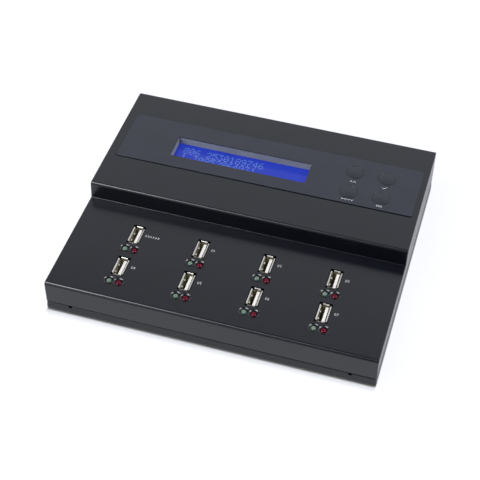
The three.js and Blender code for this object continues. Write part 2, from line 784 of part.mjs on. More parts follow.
const button = makeButton();
const keySwitch = makeKeySwitch();
buttons.forEach(({ name, x, y }) => {
  place(`button_${name}`, button, panelFilm, x, y, rearDeckTop);
  place(`key_switch_${name}`, keySwitch, blackPlastic, x, y);
});

// Power inlet: body on the main board, nose through the back wall, contact pin in its bore
function makePowerInlet() {
  const body = block(-inletWidth / 2, inletWidth / 2, inletFront - inletDepth, inletFront, 0, inletHeight);
  const noseEnd = coverBack;
  const nose = barAlongY(inletNoseRadius, inletFront - inletDepth / 2, noseEnd, 0, inletAxisHeight, roundSides);
  const bore = barAlongY(inletBore, noseEnd - inletBoreDepth, noseEnd + cutOverrun, 0, inletAxisHeight, roundSides);
  const pin = barAlongY(inletPin, noseEnd - inletBoreDepth - rootOverlap, noseEnd - inletPinRecess, 0,
    inletAxisHeight);
  return cut(body.add(nose), [bore]).add(pin);
}

place("power_inlet", makePowerInlet(), blackPlastic, inletX, 0, boardTop);

// Power switch: bezel and body around the rocker, with two terminals behind
const rockerWell = rockerRadius + fitGap;

function makeSwitchBody() {
  const bodyWidth = switchCutWidth - 2 * snugGap;
  const bodyHeight = switchCutHeight - 2 * snugGap;
  const innerBack = switchBezelBack - switchBodyDepth;
  const bezel = block(-switchCutWidth / 2 - switchBezel, switchCutWidth / 2 + switchBezel, coverBack, switchBezelBack,
    -switchCutHeight / 2 - switchBezel, switchCutHeight / 2 + switchBezel);
  const body = block(-bodyWidth / 2, bodyWidth / 2, innerBack, coverBack + switchBezelThickness / 2,
    -bodyHeight / 2, bodyHeight / 2);
  const terminals = [-1, 1].map((side) => {
    const x = (side * rockerRadius) / 2;
    return block(x - terminalThickness / 2, x + terminalThickness / 2,
      innerBack - terminalLength, innerBack + rootOverlap, -terminalWidth / 2, terminalWidth / 2);
  });
  const wellHalf = rockerHeight / 2 + fitGap;
  const well = rod(rockerWell, -wellHalf, wellHalf, 0, rockerPivotY, roundSides);
  const mouth = block(-rockerWell, rockerWell, rockerPivotY, rockerPivotY + rockerWell + cutOverrun,
    -wellHalf, wellHalf);
  const pinReach = rockerHeight / 2 + rockerPinLength + snugGap;
  const pinHole = rod(rockerPinRadius + snugGap, -pinReach, pinReach, 0, rockerPivotY, roundSides);
  return cut(joined([bezel, body, ...terminals]), [well, mouth, pinHole]);
}

// Rocker: a half drum with a dished face and two pivot pins, tipped to its resting side
function makeRocker() {
  const corner = THREE.MathUtils.degToRad(rockerCornerAngle);
  const shape = new THREE.Shape();
  shape.absarc(0, 0, rockerRadius, Math.PI - corner, 2 * Math.PI + corner);
  shape.lineTo(0, rockerRadius * Math.sin(corner) - rockerDip);
  const geometry = new THREE.ExtrudeGeometry(shape, {
    depth: rockerHeight,
    bevelEnabled: false,
    curveSegments: smallSides / 2,
  });
  geometry.translate(0, 0, -rockerHeight / 2);
  const reach = rockerHeight / 2 + rockerPinLength;
  return solidOf(geometry).add(rod(rockerPinRadius, -reach, reach, 0, 0, roundSides));
}

place("switch_body", makeSwitchBody(), blackPlastic, switchX, 0, switchZ);
const rocker = place("switch_rocker", makeRocker(), blackPlastic, switchX, rockerPivotY, switchZ);
rocker.rotation.z = -THREE.MathUtils.degToRad(rockerTilt);

export default duplicator;
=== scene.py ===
import math

import bmesh
import bpy
from mathutils import Matrix, Vector


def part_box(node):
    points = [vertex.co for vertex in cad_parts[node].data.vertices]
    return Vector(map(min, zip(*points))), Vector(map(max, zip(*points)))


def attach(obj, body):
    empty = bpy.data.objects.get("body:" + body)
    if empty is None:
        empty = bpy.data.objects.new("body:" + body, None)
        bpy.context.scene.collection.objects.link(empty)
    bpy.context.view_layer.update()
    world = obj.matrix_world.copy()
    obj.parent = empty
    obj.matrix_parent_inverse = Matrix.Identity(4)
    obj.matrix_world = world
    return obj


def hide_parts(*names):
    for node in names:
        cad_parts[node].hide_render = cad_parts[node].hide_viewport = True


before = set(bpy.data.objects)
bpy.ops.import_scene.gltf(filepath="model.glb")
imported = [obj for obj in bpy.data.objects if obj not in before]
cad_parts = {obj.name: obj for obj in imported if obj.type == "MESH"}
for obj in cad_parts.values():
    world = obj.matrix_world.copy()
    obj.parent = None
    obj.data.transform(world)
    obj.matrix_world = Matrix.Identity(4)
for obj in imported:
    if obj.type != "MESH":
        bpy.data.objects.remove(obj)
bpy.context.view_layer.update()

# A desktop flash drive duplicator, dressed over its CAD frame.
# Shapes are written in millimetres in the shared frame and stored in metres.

MM = 0.001
CHASSIS = "chassis"


def box_mm(node):
    low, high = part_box(node)
    return low / MM, high / MM


def middle_mm(node):
    low, high = box_mm(node)
    return (low + high) / 2


# Places read from the frame
COVER_LOW, COVER_HIGH = box_mm("top_cover")
TRAY_LOW, TRAY_HIGH = box_mm("bottom_tray")
PANEL_LOW, PANEL_HIGH = box_mm("control_panel")
LINING_LOW, LINING_HIGH = box_mm("display_frame")
GLASS_HIGH = box_mm("display_glass")[1]
SHELL_LOW, SHELL_HIGH = box_mm("socket_shell_1")
TONGUE_LOW, TONGUE_HIGH = box_mm("socket_tongue_1")
LAMP_HIGH = box_mm("lamp_green_1")[1]
CONTROL_LOW, CONTROL_HIGH = box_mm("control_board")
MAIN_LOW, MAIN_HIGH = box_mm("main_board")
INLET_LOW, INLET_HIGH = box_mm("power_inlet")
SWITCH_LOW, SWITCH_HIGH = box_mm("switch_body")
SOCKET_NUMBERS = range(1, 9)
BUTTON_NAMES = ("up", "enter", "down", "back")
SOCKETS = {n: middle_mm(f"socket_shell_{n}") for n in SOCKET_NUMBERS}
LAMPS = {
    f"{colour}_{n}": middle_mm(f"lamp_{colour}_{n}")
    for colour in ("green", "red")
    for n in SOCKET_NUMBERS
}
BUTTONS = {name: middle_mm(f"button_{name}") for name in BUTTON_NAMES}
FEET = [middle_mm(f"rubber_foot_{n}") for n in range(1, 5)]
SCREWS = [middle_mm(f"case_screw_{n}") for n in range(1, 5)]

# Case
SHEET = 1.0
OVERRUN = 5.0
ROUND_SIDES = 40
FINE_SIDES = 48
FLOOR_GAP = 1.5
TRAY_SPAN_X = TRAY_HIGH.x - TRAY_LOW.x
TRAY_SPAN_Y = TRAY_HIGH.y - TRAY_LOW.y
TRAY_MIDDLE_Y = (TRAY_LOW.y + TRAY_HIGH.y) / 2
TRAY_WALL = FLOOR_GAP + 4.6
TRAY_CORNER = 1.6
TRAY_BEND = 0.5
TRAY_LIP_EDGE = 0.1
TRAY_LEAN_X = 0.15
TRAY_LEAN_Y = 0.75
SEAM = 0.3
SEAM_TOP = TRAY_WALL + SEAM
UPSTAND_INSET = 2.3
FRONT_DECK = SHELL_HIGH.z - 0.4
REAR_DECK = PANEL_HIGH.z
RISER = COVER_LOW.y + 75.6
RISER_LEAN = 1.0
LEAN_ANGLE = math.degrees(math.atan2(RISER_LEAN, REAR_DECK - FRONT_DECK))
LONG_BEND = 1.9
RISER_BEND = 1.7
END_BEND = 0.4
RISER_FOOT = 0.35
CATCH_SLOT_X = 85.0
CATCH_SLOT_WIDTH = 2.0
CATCH_SLOT_DEPTH = 1.2
POST_RADIUS = 3.4
POST_BORE = 1.7
POST_BORE_DEPTH = 10.0
PILLAR_RADIUS = 3.0
PILLAR_ROW_SHARES = (0.06, 0.5, 0.94)
PILLAR_INSET = 6.0
HANGER_INSET = 4.5

# Feet and case screws
FOOT_TAPER = 0.7
FOOT_EDGE = 0.35
HEAD_RADIUS = 2.9
HEAD_HEIGHT = 1.0
HEAD_DOME = 0.5
HEAD_DOME_ANGLES = (0, 25, 45, 65, 90)
SHANK_RADIUS = 1.4
SHANK_TIP_SHARE = 0.5
THREAD_TURNS = 9
THREAD_PITCH = 1.0
THREAD_START = 0.6
THREAD_DEPTH = 0.2
THREAD_FLANK = 0.35
RECESS_HALF_WIDTH = 0.35
RECESS_REACH = 1.5
RECESS_DEPTH = 0.55

# Sockets
SHELL_WALL = 0.3
SHELL_CORNER = 0.7
LIP_HEIGHT = 0.9
LIP_WALL = 0.35
LIP_TURN = 84
LIP_SINK = 0.1
FRAME_FLARE_X = 0.4
FRAME_FLARE_Y = 0.2
LIP_FLARE_X = 0.6
LIP_FLARE_Y = 0.22
LIP_EDGE = 0.08
MOUTH_SHIFT_X = -0.2
MOUTH_SHIFT_Y = -0.3
MOUTH_EXTRA_DEPTH = 0.6
SHELL_WIDTH = SHELL_HIGH.x - SHELL_LOW.x - 2 * FRAME_FLARE_X
SHELL_DEPTH = SHELL_HIGH.y - SHELL_LOW.y - 2 * FRAME_FLARE_Y + MOUTH_EXTRA_DEPTH
CUTOUT_LEFT = 0.95
CUTOUT_RIGHT = 0.4
CUTOUT_FRONT = 0.75
CUTOUT_BACK = 1.05
CUTOUT_CORNER = 0.4
CORNER_NOTCH = 0.95
CORNER_NOTCH_DEPTH = 1.3
TONGUE_THICKNESS = 1.75
TONGUE_GAP = 0.83
TONGUE_DROP = 0.85
TONGUE_WIDTH = 11.1
TONGUE_BASE = 3.0
TONGUE_EDGE = 0.15
PAD_ROWS = (-3.5, -1.0, 1.0, 3.5)
PAD_WIDTH = 1.0
PAD_SINK = 0.05
PAD_FOOT = 1.0
PAD_TIP = 1.2
PAD_SLOT_WIDTH = 1.2
PAD_SLOT_DEPTH = 0.25
PAD_SLOT_TIP = 1.0
SPRING_ROW = 2.65
SPRING_WIDTH = 1.2
SPRING_THICKNESS = 0.2
# A spring's bow as (out from the wall, height from the top of the mouth)
SPRING_BOW = ((0.0, -8.0), (0.15, -5.5), (0.55, -3.4), (0.72, -2.9), (0.62, -2.62), (0.0, -2.4))

# Lamps
LENS_RADIUS = 2.0
LENS_DOME = 1.5
LENS_DROP = 0.2
LAMP_HOLE = 2.1
LAMP_SINK_RADIUS = 3.4
LAMP_SINK_TILTS = (8, 40)
LAMP_BODY = 5.3
LEG_WIDTH = 0.5
LEG_SPACING = 2.54
BOARD_THICKNESS = 1.6

# Panel and display
PANEL_CORNER = 1.2
PANEL_GROOVE = 1.15
PANEL_SIDE_GAP = 0.2
PANEL_EDGE = 0.06
FILM_GAP = 0.04
PAN_TOP = PANEL_LOW.z
PAN_UNDER = PAN_TOP - SHEET
LINING_WALL = 1.4
LINING_GAP = 0.3
PRINT_HEIGHT = 0.03
PRINT_SINK = 0.01

# Buttons
CAP_RADIUS = 5.62
CAP_HOLE = 5.7
CAP_DOME = 0.3
CAP_CONE_SHARE = 0.75
CAP_EDGE_POWER = 5
CAP_STEPS = 16
# The rim's edge as (in, down), the flange as (radius, height)
CAP_RIM = (0.08, 0.1)
CAP_FLANGE = (6.5, 1.0)
CAP_STEM = 1.8
CAP_GAP = 0.3

# Back wall
INLET_NOSE = 3.9
INLET_NOSE_EDGE = 0.3
INLET_BORE = 3.0
INLET_BORE_EDGE = 0.4
INLET_BORE_DEPTH = 9.0
INLET_AXIS_HEIGHT = 6.4
INLET_AXIS = (middle_mm("power_inlet").x, 0, INLET_LOW.z + INLET_AXIS_HEIGHT)
# The pin in the inlet as (radius, distance in from the inlet's end)
INLET_PIN = ((0.0, 10.0), (1.0, 10.0), (1.0, 1.5), (0.7, 1.1), (0.0, 1.0))
SWITCH_MIDDLE = middle_mm("switch_body")
# The switch's cutout as (width, height), a terminal as (width, length, height)
SWITCH_CUT = (13.2, 8.8)
TERMINAL_SIZE = (0.6, 3.0, 3.0)
SWITCH_BEZEL = 1.1
SWITCH_EDGE = 0.25
SWITCH_FIT = 0.15
SWITCH_DEPTH = 10.0
SWITCH_LAP = 0.5
WELL_GAP = 0.3
PIVOT_SINK = 2.2
PIVOT_RADIUS = 0.9
PIVOT_REACH = 0.9
PIVOT_GAP = 0.15
ROCKER_RADIUS = 5.2
ROCKER_HEIGHT = 5.6
ROCKER_TILT = 11.0
ROCKER_CORNER = 24.0
ROCKER_DIP = 0.5
ROCKER_EDGE = 0.2
ROCKER_FACE_STEPS = 12


# Object and mesh helpers


def new_object(name, data):
    """An object of the scene that holds a mesh, a curve, a light or a camera."""
    thing = bpy.data.objects.new(name, data)
    bpy.context.scene.collection.objects.link(thing)
    return thing


def mesh_object(name, points, faces):
    """An object from points in millimetres, with its faces turned outwards."""
    mesh = bpy.data.meshes.new(name)
    mesh.from_pydata([Vector(p) * MM for p in points], [], faces)
    work = bmesh.new()
    work.from_mesh(mesh)
    bmesh.ops.recalc_face_normals(work, faces=work.faces)
    work.to_mesh(mesh)
    work.free()
    return new_object(name, mesh)


def loft(name, rings):
    """A closed solid through rings that have the same number of points."""
    count = len(rings[0])
    points = [p for ring in rings for p in ring]
    faces = [tuple(range(count)), tuple(range(len(points) - count, len(points)))]
    for level in range(len(rings) - 1):
        base = level * count
        for i in range(count):
            j = (i + 1) % count
            faces.append((base + i, base + j, base + count + j, base + count + i))
    return mesh_object(name, points, faces)


def lathe(name, profile, sides=32, place=(0, 0, 0), axis="Z"):
    """A profile of (radius, height) turned about an axis. It starts and ends at radius 0."""
    low, high = profile[0][1], profile[-1][1]
    rings = profile[1:-1]
    points = [(0, 0, low)]
    for radius, height in rings:
        for i in range(sides):
            angle = 2 * math.pi * i / sides
            points.append((radius * math.cos(angle), radius * math.sin(angle), height))
    points.append((0, 0, high))
    top = len(points) - 1
    faces = []
    for i in range(sides):
        j = (i + 1) % sides
        faces.append((0, 1 + j, 1 + i))
        for level in range(len(rings) - 1):
            a = 1 + level * sides
            faces.append((a + i, a + j, a + sides + j, a + sides + i))
        last = 1 + (len(rings) - 1) * sides
        faces.append((top, last + i, last + j))
    if axis == "Y":
        points = [(x, z, y) for x, y, z in points]
    moved = [Vector(p) + Vector(place) for p in points]
    return mesh_object(name, moved, faces)


def arc(cx, cy, radius, start, end, steps):
    """Points of an arc, with its angles in degrees."""
    angles = [math.radians(start + (end - start) * i / steps) for i in range(steps + 1)]
    return [(cx + radius * math.cos(a), cy + radius * math.sin(a)) for a in angles]


def rounded_rectangle(width, depth, corner, cx=0, cy=0):
    w, d = width / 2 - corner, depth / 2 - corner
    points = []
    for sx, sy, start in ((1, 1, 0), (-1, 1, 90), (-1, -1, 180), (1, -1, 270)):
        points += arc(cx + sx * w, cy + sy * d, corner, start, start + 90, steps=6)
    return points


def prism(name, outline, z0, z1):
    return loft(name, [[(x, y, z) for x, y in outline] for z in (z0, z1)])


def rounded_slab(name, width, depth, corner, z0, z1, cx=0, cy=0):
    return prism(name, rounded_rectangle(width, depth, corner, cx, cy), z0, z1)


def block(name, low, high):
    (x0, y0, z0), (x1, y1, z1) = low, high
    return prism(name, [(x0, y0), (x1, y0), (x1, y1), (x0, y1)], z0, z1)


def bar(name, x, z, half_width, half_height, y0, y1):
    """A block along Y about the line through x and z."""
    return block(name, (x - half_width, y0, z - half_height), (x + half_width, y1, z + half_height))


def rod(name, radius, z0, z1, x=0, y=0, sides=24):
    return lathe(name, [(0, z0), (radius, z0), (radius, z1), (0, z1)], sides, (x, y, 0))


def discard(*things):
    for thing in things:
        bpy.data.objects.remove(thing)


def merge(name, things):
    """One object that holds the meshes of several, which are deleted."""
    work = bmesh.new()
    for thing in things:
        work.from_mesh(thing.data)
    discard(*things)
    mesh = bpy.data.meshes.new(name)
    work.to_mesh(mesh)
    work.free()
    return new_object(name, mesh)


def evaluated_mesh(thing):
    """A new mesh of the object as it is seen, with its modifiers applied."""
    bpy.context.view_layer.update()
    graph = bpy.context.evaluated_depsgraph_get()
    return bpy.data.meshes.new_from_object(thing.evaluated_get(graph))


def boolean(base, tools, operation):
    """Adds the tools to the base or cuts them out of it. The tools don't touch each other."""
    tool = merge("tools", tools)
    modifier = base.modifiers.new("work", "BOOLEAN")
    modifier.operation = operation
    modifier.solver = "MANIFOLD"
    modifier.object = tool
    result = evaluated_mesh(base)
    base.modifiers.clear()
    base.data = result
    discard(tool)
    return base


def add(base, tools):
    return boolean(base, tools, "UNION")


def cut(base, tools):
    return boolean(base, tools, "DIFFERENCE")


def shade(thing, angle=32, bevel=0.0):
    """Smooth shading that keeps sharp edges, with an optional fine rounding in millimetres."""
    mesh = thing.data
    mesh.shade_smooth()
    mesh.set_sharp_from_angle(angle=math.radians(angle))
    if bevel:
        modifier = thing.modifiers.new("edges", "BEVEL")
        modifier.width = bevel * MM
        modifier.segments = 2
        modifier.limit_method = "ANGLE"
        modifier.angle_limit = math.radians(angle)
    normals = thing.modifiers.new("normals", "WEIGHTED_NORMAL")
    normals.keep_sharp = True
    normals.weight = 100
    return thing


def dress(thing, material, nodes=(), body=CHASSIS):
    """Gives a finished piece its material, the nodes it stands for and its body."""
    thing.data.materials.clear()
    thing.data.materials.append(material)
    if nodes:
        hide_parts(*nodes)
    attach(thing, body)
    return thing


def copy_of(thing, name, shift):
    """A second object of the same mesh and modifiers, moved by millimetres."""
    twin = thing.copy()
    twin.name = name
    twin.location = Vector(shift) * MM
    bpy.context.scene.collection.objects.link(twin)
    return twin


# Materials
COAT_ROUGHNESS = 0.05
GRAIN_SCALE = 900.0
DRIFT_SCALE = 75.0
DRIFT_BAND = (0.3, 0.7)
RELIEF_DEPTH = 0.2


def set_inputs(tree, node, inputs):
    """Sets each input of a node to its value, or links it to the socket that feeds it."""
    for key, value in inputs.items():
        if isinstance(value, bpy.types.NodeSocket):
            tree.links.new(value, node.inputs[key])
        else:
            node.inputs[key].default_value = value
    return node


def add_node(tree, kind, inputs):
    return set_inputs(tree, tree.nodes.new(kind), inputs)


def object_vector(tree, scale, shift=(0, 0, 0)):
    """Coordinates on the object in metres, scaled and then shifted."""
    place = tree.nodes.new("ShaderNodeTexCoord").outputs["Object"]
    mapping = add_node(tree, "ShaderNodeMapping", {"Vector": place, "Location": shift, "Scale": scale})
    return mapping.outputs["Vector"]


def noise(tree, vector, scale, detail):
    texture = add_node(tree, "ShaderNodeTexNoise", {"Vector": vector, "Scale": scale, "Detail": detail})
    return texture.outputs["Fac"]


def blend_colours(tree, factor, positions, colours):
    """A ramp from the first colour to the second."""
    ramp = add_node(tree, "ShaderNodeValToRGB", {"Fac": factor})
    for element, position, colour in zip(ramp.color_ramp.elements, positions, colours):
        element.position = position
        element.color = (*colour, 1)
    return ramp.outputs["Color"]


def finish(name, colour, roughness, metallic=0.0, ior=1.5, coat=0.0, tint=0.12, relief=0.05,
           roughness_spread=0.06, stretch=(1, 1, 1), emission=(1, 1, 1), strength=0.0):
    """A procedural surface: fine grain in relief, and slow drifts of colour and gloss."""
    material = bpy.data.materials.new(name)
    material.use_nodes = True
    tree = material.node_tree
    vector = object_vector(tree, stretch)
    drift = noise(tree, vector, DRIFT_SCALE, detail=3)
    shades = [[c * (1 + side * tint) for c in colour] for side in (-1, 1)]
    gloss = add_node(tree, "ShaderNodeMapRange", {
        "Value": drift,
        "To Min": roughness - roughness_spread / 2,
        "To Max": roughness + roughness_spread / 2,
    })
    bump = add_node(tree, "ShaderNodeBump", {
        "Strength": relief,
        "Distance": RELIEF_DEPTH * MM,
        "Height": noise(tree, vector, GRAIN_SCALE, detail=4),
    })
    set_inputs(tree, tree.nodes["Principled BSDF"], {
        "Base Color": blend_colours(tree, drift, DRIFT_BAND, shades),
        "Metallic": metallic,
        "Roughness": gloss.outputs["Result"],
        "IOR": ior,
        "Coat Weight": coat,
        "Coat Roughness": COAT_ROUGHNESS,
        "Emission Color": (*emission, 1),
        "Emission Strength": strength,
        "Normal": bump.outputs["Normal"],
    })
    return material


GLOSS_LEVEL = 0.5
GRAZING_LEVEL = 0.04
GRAZING_RANGE = (0.5, 0.8)


def dull_at_grazing(material):
    """Weaker gloss where the surface is seen nearly edge on."""
    tree = material.node_tree
    level = add_node(tree, "ShaderNodeMapRange", {
        "Value": tree.nodes.new("ShaderNodeLayerWeight").outputs["Facing"],
        "From Min": GRAZING_RANGE[0],
        "From Max": GRAZING_RANGE[1],
        "To Min": GLOSS_LEVEL,
        "To Max": GRAZING_LEVEL,
    })
    set_inputs(tree, tree.nodes["Principled BSDF"], {"Specular IOR Level": level.outputs["Result"]})
    return material


SMOOTH = {"relief": 0.02, "roughness_spread": 0.03}
PAINT = dull_at_grazing(finish("satin_black_paint", (0.0024, 0.0030, 0.0056), 0.23, **SMOOTH))
FILM = finish("dark_grey_film", (0.0078, 0.0102, 0.0185), 0.20, **SMOOTH)
# The button caps' film: the panel film's colour darkened as painted shade on the domes
SHADED_CAP_FILM = finish("button_film_painted_shade", (0.0058, 0.0077, 0.0140), 0.20, **SMOOTH)
RUBBER = finish("black_rubber", (0.012, 0.012, 0.012), 0.85, relief=0.3)
NICKEL = finish("nickel_plate", (0.66, 0.64, 0.60), 0.2, metallic=0.9, stretch=(1, 1, 6))
# The socket shells' nickel, darkened to olive as painted shade inside the mouths; the lips keep the bright
# nickel
SHADED_NICKEL = finish("nickel_in_painted_shade", (0.26, 0.24, 0.16), 0.38, metallic=0.4, stretch=(1, 1, 6))
GOLD = finish("gold_contact", (0.85, 0.60, 0.22), 0.25, metallic=1.0)
WHITE = finish("white_moulding", (0.54, 0.53, 0.51), 0.45, tint=0.03)

LENS_ROUGHNESS = 0.10
LENS_IOR = 1.25
# Where the painted glow over a lens's core sits, how far it spreads and how it fades into painted shade
LENS_GLOW_SHIFT = 0.1
LENS_GLOW_REACH = 2.3
LENS_GLOW_BAND = (0.22, 0.62)


def lens_with_painted_glow(name, glow_colour, shaded_rim_colour):
    """A moulded lens with a painted glow over its core, where the chip sits, and painted shade towards its
    rim.
    """
    material = finish(name, glow_colour, LENS_ROUGHNESS, ior=LENS_IOR)
    tree = material.node_tree
    scale = 1 / (LENS_GLOW_REACH * MM)
    vector = object_vector(tree, (scale, scale, 0), (0, LENS_GLOW_SHIFT / LENS_GLOW_REACH, 0))
    glow_disc = add_node(tree, "ShaderNodeTexGradient", {"Vector": vector})
    glow_disc.gradient_type = "SPHERICAL"
    colour = blend_colours(tree, glow_disc.outputs["Fac"], LENS_GLOW_BAND, (shaded_rim_colour, glow_colour))
    set_inputs(tree, tree.nodes["Principled BSDF"], {"Base Color": colour})
    return material


# Each lens as a painted glow colour over its core and a painted shade colour at its rim
GREEN_LENS = lens_with_painted_glow("green_lens", (0.115, 0.16, 0.13), (0.010, 0.026, 0.016))
RED_LENS = lens_with_painted_glow("red_lens", (0.085, 0.0, 0.010), (0.035, 0.0, 0.005))
STEEL = finish("blackened_steel", (0.05, 0.05, 0.052), 0.35, metallic=1.0)
TIN = finish("tinned_leg", (0.6, 0.6, 0.58), 0.3, metallic=1.0)
LAMINATE = finish("green_laminate", (0.012, 0.09, 0.035), 0.4, coat=0.4)
LINING = finish("display_lining", (0.26, 0.275, 0.29), 0.55)
DIFFUSER = finish("backlight_diffuser", (0.8, 0.8, 0.78), 0.5)
RIBBON = finish("ribbon_jacket", (0.25, 0.25, 0.27), 0.55, stretch=(8, 1, 1))
BLACK = finish("black_moulding", (0.010, 0.010, 0.011), 0.4, relief=0.12)
GLOSS_BLACK = finish("gloss_black_moulding", (0.008, 0.008, 0.009), 0.22)
PRINT = finish("white_print", (0.48, 0.49, 0.50), 0.5)
DISPLAY = finish(
    "blue_display", (0.004, 0.012, 0.12), 0.18, ior=1.3, tint=0.05,
    emission=(0.024, 0.045, 0.50), strength=0.55,
)
DIGIT = finish("display_digit", (0.07, 0.13, 0.25), 0.3, emission=(0.09, 0.20, 0.60), strength=0.4)


def finish_node(name, material):
    """Gives a solid of the frame its material."""
    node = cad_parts[name]
    node.data.materials.clear()
    node.data.materials.append(material)


# Case


def cover_outline(inset, open_end):
    """The cover's side outline as (y, z), drawn in from the outer skin. The riser leans back."""
    outer = LONG_BEND - inset
    tangent_share = math.tan(math.radians(90 - LEAN_ANGLE) / 2)
    top_bend = RISER + RISER_LEAN + RISER_BEND * tangent_share
    foot_bend = RISER - RISER_FOOT * tangent_share
    upper, lower = REAR_DECK - LONG_BEND, FRONT_DECK - LONG_BEND
    points = [(COVER_LOW.y + inset, open_end), (COVER_HIGH.y - inset, open_end)]
    points += arc(COVER_HIGH.y - LONG_BEND, upper, outer, 0, 90, steps=12)
    points += arc(top_bend, REAR_DECK - RISER_BEND, RISER_BEND - inset, 90, 180 - LEAN_ANGLE, steps=12)
    points += arc(foot_bend, FRONT_DECK + RISER_FOOT, RISER_FOOT + inset, -LEAN_ANGLE, -90, steps=6)
    points += arc(COVER_LOW.y + LONG_BEND, lower, outer, 90, 180, steps=12)
    return points


def cover_body(name, skin, open_end):
    """The outline carried along X, skin deep below the outer skin, which has rounded ends."""
    half = COVER_HIGH.x - skin
    ends = [(half, skin)]
    if skin == 0:
        ends = arc(half - END_BEND, END_BEND, END_BEND, 0, -90, steps=5)
    stations = [(-x, inset) for x, inset in ends] + list(reversed(ends))
    return loft(name, [[(x, y, z) for y, z in cover_outline(inset, open_end)] for x, inset in stations])


def make_cover():
    cover = cover_body("cover_steel", 0.0, SEAM_TOP)
    cut(cover, [cover_body("hollow", SHEET, SEAM_TOP - OVERRUN)])
    pan_width = PANEL_HIGH.x - PANEL_LOW.x + 2 * PANEL_SIDE_GAP
    pan_front = PANEL_LOW.y - PANEL_GROOVE
    pan_back = PANEL_HIGH.y + PANEL_SIDE_GAP
    pan_x = (PANEL_LOW.x + PANEL_HIGH.x) / 2
    pan_y = (pan_front + pan_back) / 2
    pan_depth = pan_back - pan_front
    add(cover, [rounded_slab("pan", pan_width + 2 * SHEET, pan_depth + 2 * SHEET, PANEL_CORNER + SHEET,
                             PAN_UNDER, REAR_DECK - SHEET / 2, pan_x, pan_y)])
    inside = []
    for p in SCREWS:
        top = FRONT_DECK if p.y < RISER else REAR_DECK
        inside.append(rod("post", POST_RADIUS, FLOOR_GAP + SHEET, top - SHEET / 2, p.x, p.y))
    for x in (CONTROL_LOW.x + HANGER_INSET, CONTROL_HIGH.x - HANGER_INSET):
        for y in (CONTROL_LOW.y + HANGER_INSET, CONTROL_HIGH.y - HANGER_INSET):
            inside.append(rod("hanger", PILLAR_RADIUS, CONTROL_HIGH.z, PAN_UNDER + SHEET / 2, x, y))
    add(cover, inside)
    cut(cover, [rounded_slab("pan_hollow", pan_width, pan_depth, PANEL_CORNER, PAN_TOP, REAR_DECK + OVERRUN,
                             pan_x, pan_y)])
    cutters, red_sinks = cover_cutters()
    cut(cover, cutters)
    cut(cover, red_sinks)
    shade(cover)
    return dress(cover, PAINT, ["top_cover"])


def lamp_hole_profile():
    """A hole in a dished sink, which is nearly flat at the hole and steeper at its outer rim."""
    inner_tilt, outer_tilt = (math.radians(tilt) for tilt in LAMP_SINK_TILTS)
    start, end = (tilt - 90 for tilt in LAMP_SINK_TILTS)
    curve = (LAMP_SINK_RADIUS - LAMP_HOLE) / (math.sin(outer_tilt) - math.sin(inner_tilt))
    centre_radius = LAMP_HOLE - curve * math.sin(inner_tilt)
    centre_height = FRONT_DECK + curve * math.cos(outer_tilt)
    low, high = FRONT_DECK - OVERRUN, FRONT_DECK + OVERRUN
    side = arc(centre_radius, centre_height, curve, start, end, steps=7)
    return [(0, low), (LAMP_HOLE, low), *side, (LAMP_SINK_RADIUS, high), (0, high)]


def panel_cutters(window_gap, low, sides):
    """The holes for the buttons and the display, from low up. The gap is round the display's lining."""
    high = REAR_DECK + OVERRUN
    holes = [rod("button_hole", CAP_HOLE, low, high, p.x, p.y, sides) for p in BUTTONS.values()]
    window_low = (LINING_LOW.x - window_gap, LINING_LOW.y - window_gap, low)
    window_high = (LINING_HIGH.x + window_gap, LINING_HIGH.y + window_gap, high)
    return holes + [block("window", window_low, window_high)]


def back_wall_cutters():
    """The holes for the power inlet and the power switch."""
    inner, outer = COVER_HIGH.y - SHEET - OVERRUN, COVER_HIGH.y + OVERRUN
    radius = INLET_NOSE + LINING_GAP
    inlet_profile = [(0, inner), (radius, inner), (radius, outer), (0, outer)]
    x, z = SWITCH_MIDDLE.x, SWITCH_MIDDLE.z
    return [
        lathe("inlet_hole", inlet_profile, ROUND_SIDES, INLET_AXIS, "Y"),
        bar("switch_hole", x, z, SWITCH_CUT[0] / 2, SWITCH_CUT[1] / 2, inner, outer),
    ]


def cover_cutters():
    """Every hole through the cover: sockets, lamps, buttons, window and back wall. The sinks of the
    red lamps come apart, because they run into those of the green lamps."""
    low, high = FRONT_DECK - OVERRUN, FRONT_DECK + OVERRUN
    cutters = []
    red_sinks = []
    for p in SCREWS:
        cutters.append(rod("bore", POST_BORE, -OVERRUN, FLOOR_GAP + SHEET + POST_BORE_DEPTH, p.x, p.y))
    wide = SHELL_HIGH.x - SHELL_LOW.x + CUTOUT_LEFT + CUTOUT_RIGHT
    deep = SHELL_HIGH.y - SHELL_LOW.y + CUTOUT_FRONT + CUTOUT_BACK
    for p in SOCKETS.values():
        x = p.x + (CUTOUT_RIGHT - CUTOUT_LEFT) / 2
        y = p.y + (CUTOUT_BACK - CUTOUT_FRONT) / 2
        cutters.append(rounded_slab("socket_hole", wide, deep, CUTOUT_CORNER, low, high, x, y))
    profile = lamp_hole_profile()
    for key, p in LAMPS.items():
        group = cutters if key.startswith("green") else red_sinks
        group.append(lathe("lamp_hole", profile, ROUND_SIDES, (p.x, p.y, 0)))
    cutters += panel_cutters(LINING_GAP, PAN_UNDER - OVERRUN, ROUND_SIDES)
    return cutters + back_wall_cutters(), red_sinks


def tray_outline(inset_x, inset_y, corner):
    return rounded_rectangle(TRAY_SPAN_X - 2 * inset_x, TRAY_SPAN_Y - 2 * inset_y, corner, 0, TRAY_MIDDLE_Y)


def tray_ring(name, inset, width, z0, z1):
    """A closed wall that follows the tray's outline."""
    inner = inset + width
    ring = prism(name, tray_outline(inset, inset, TRAY_CORNER), z0, z1)
    return cut(ring, [prism("hollow", tray_outline(inner, inner, TRAY_CORNER), z0 - OVERRUN, z1 + OVERRUN)])


def tray_level(inset, z, lean=0.0):
    """The tray's outline at one height. The lean draws it in on all sides."""
    outline = tray_outline(inset + lean * TRAY_LEAN_X, inset + lean * TRAY_LEAN_Y, TRAY_CORNER - inset)
    return [(x, y, z) for x, y in outline]


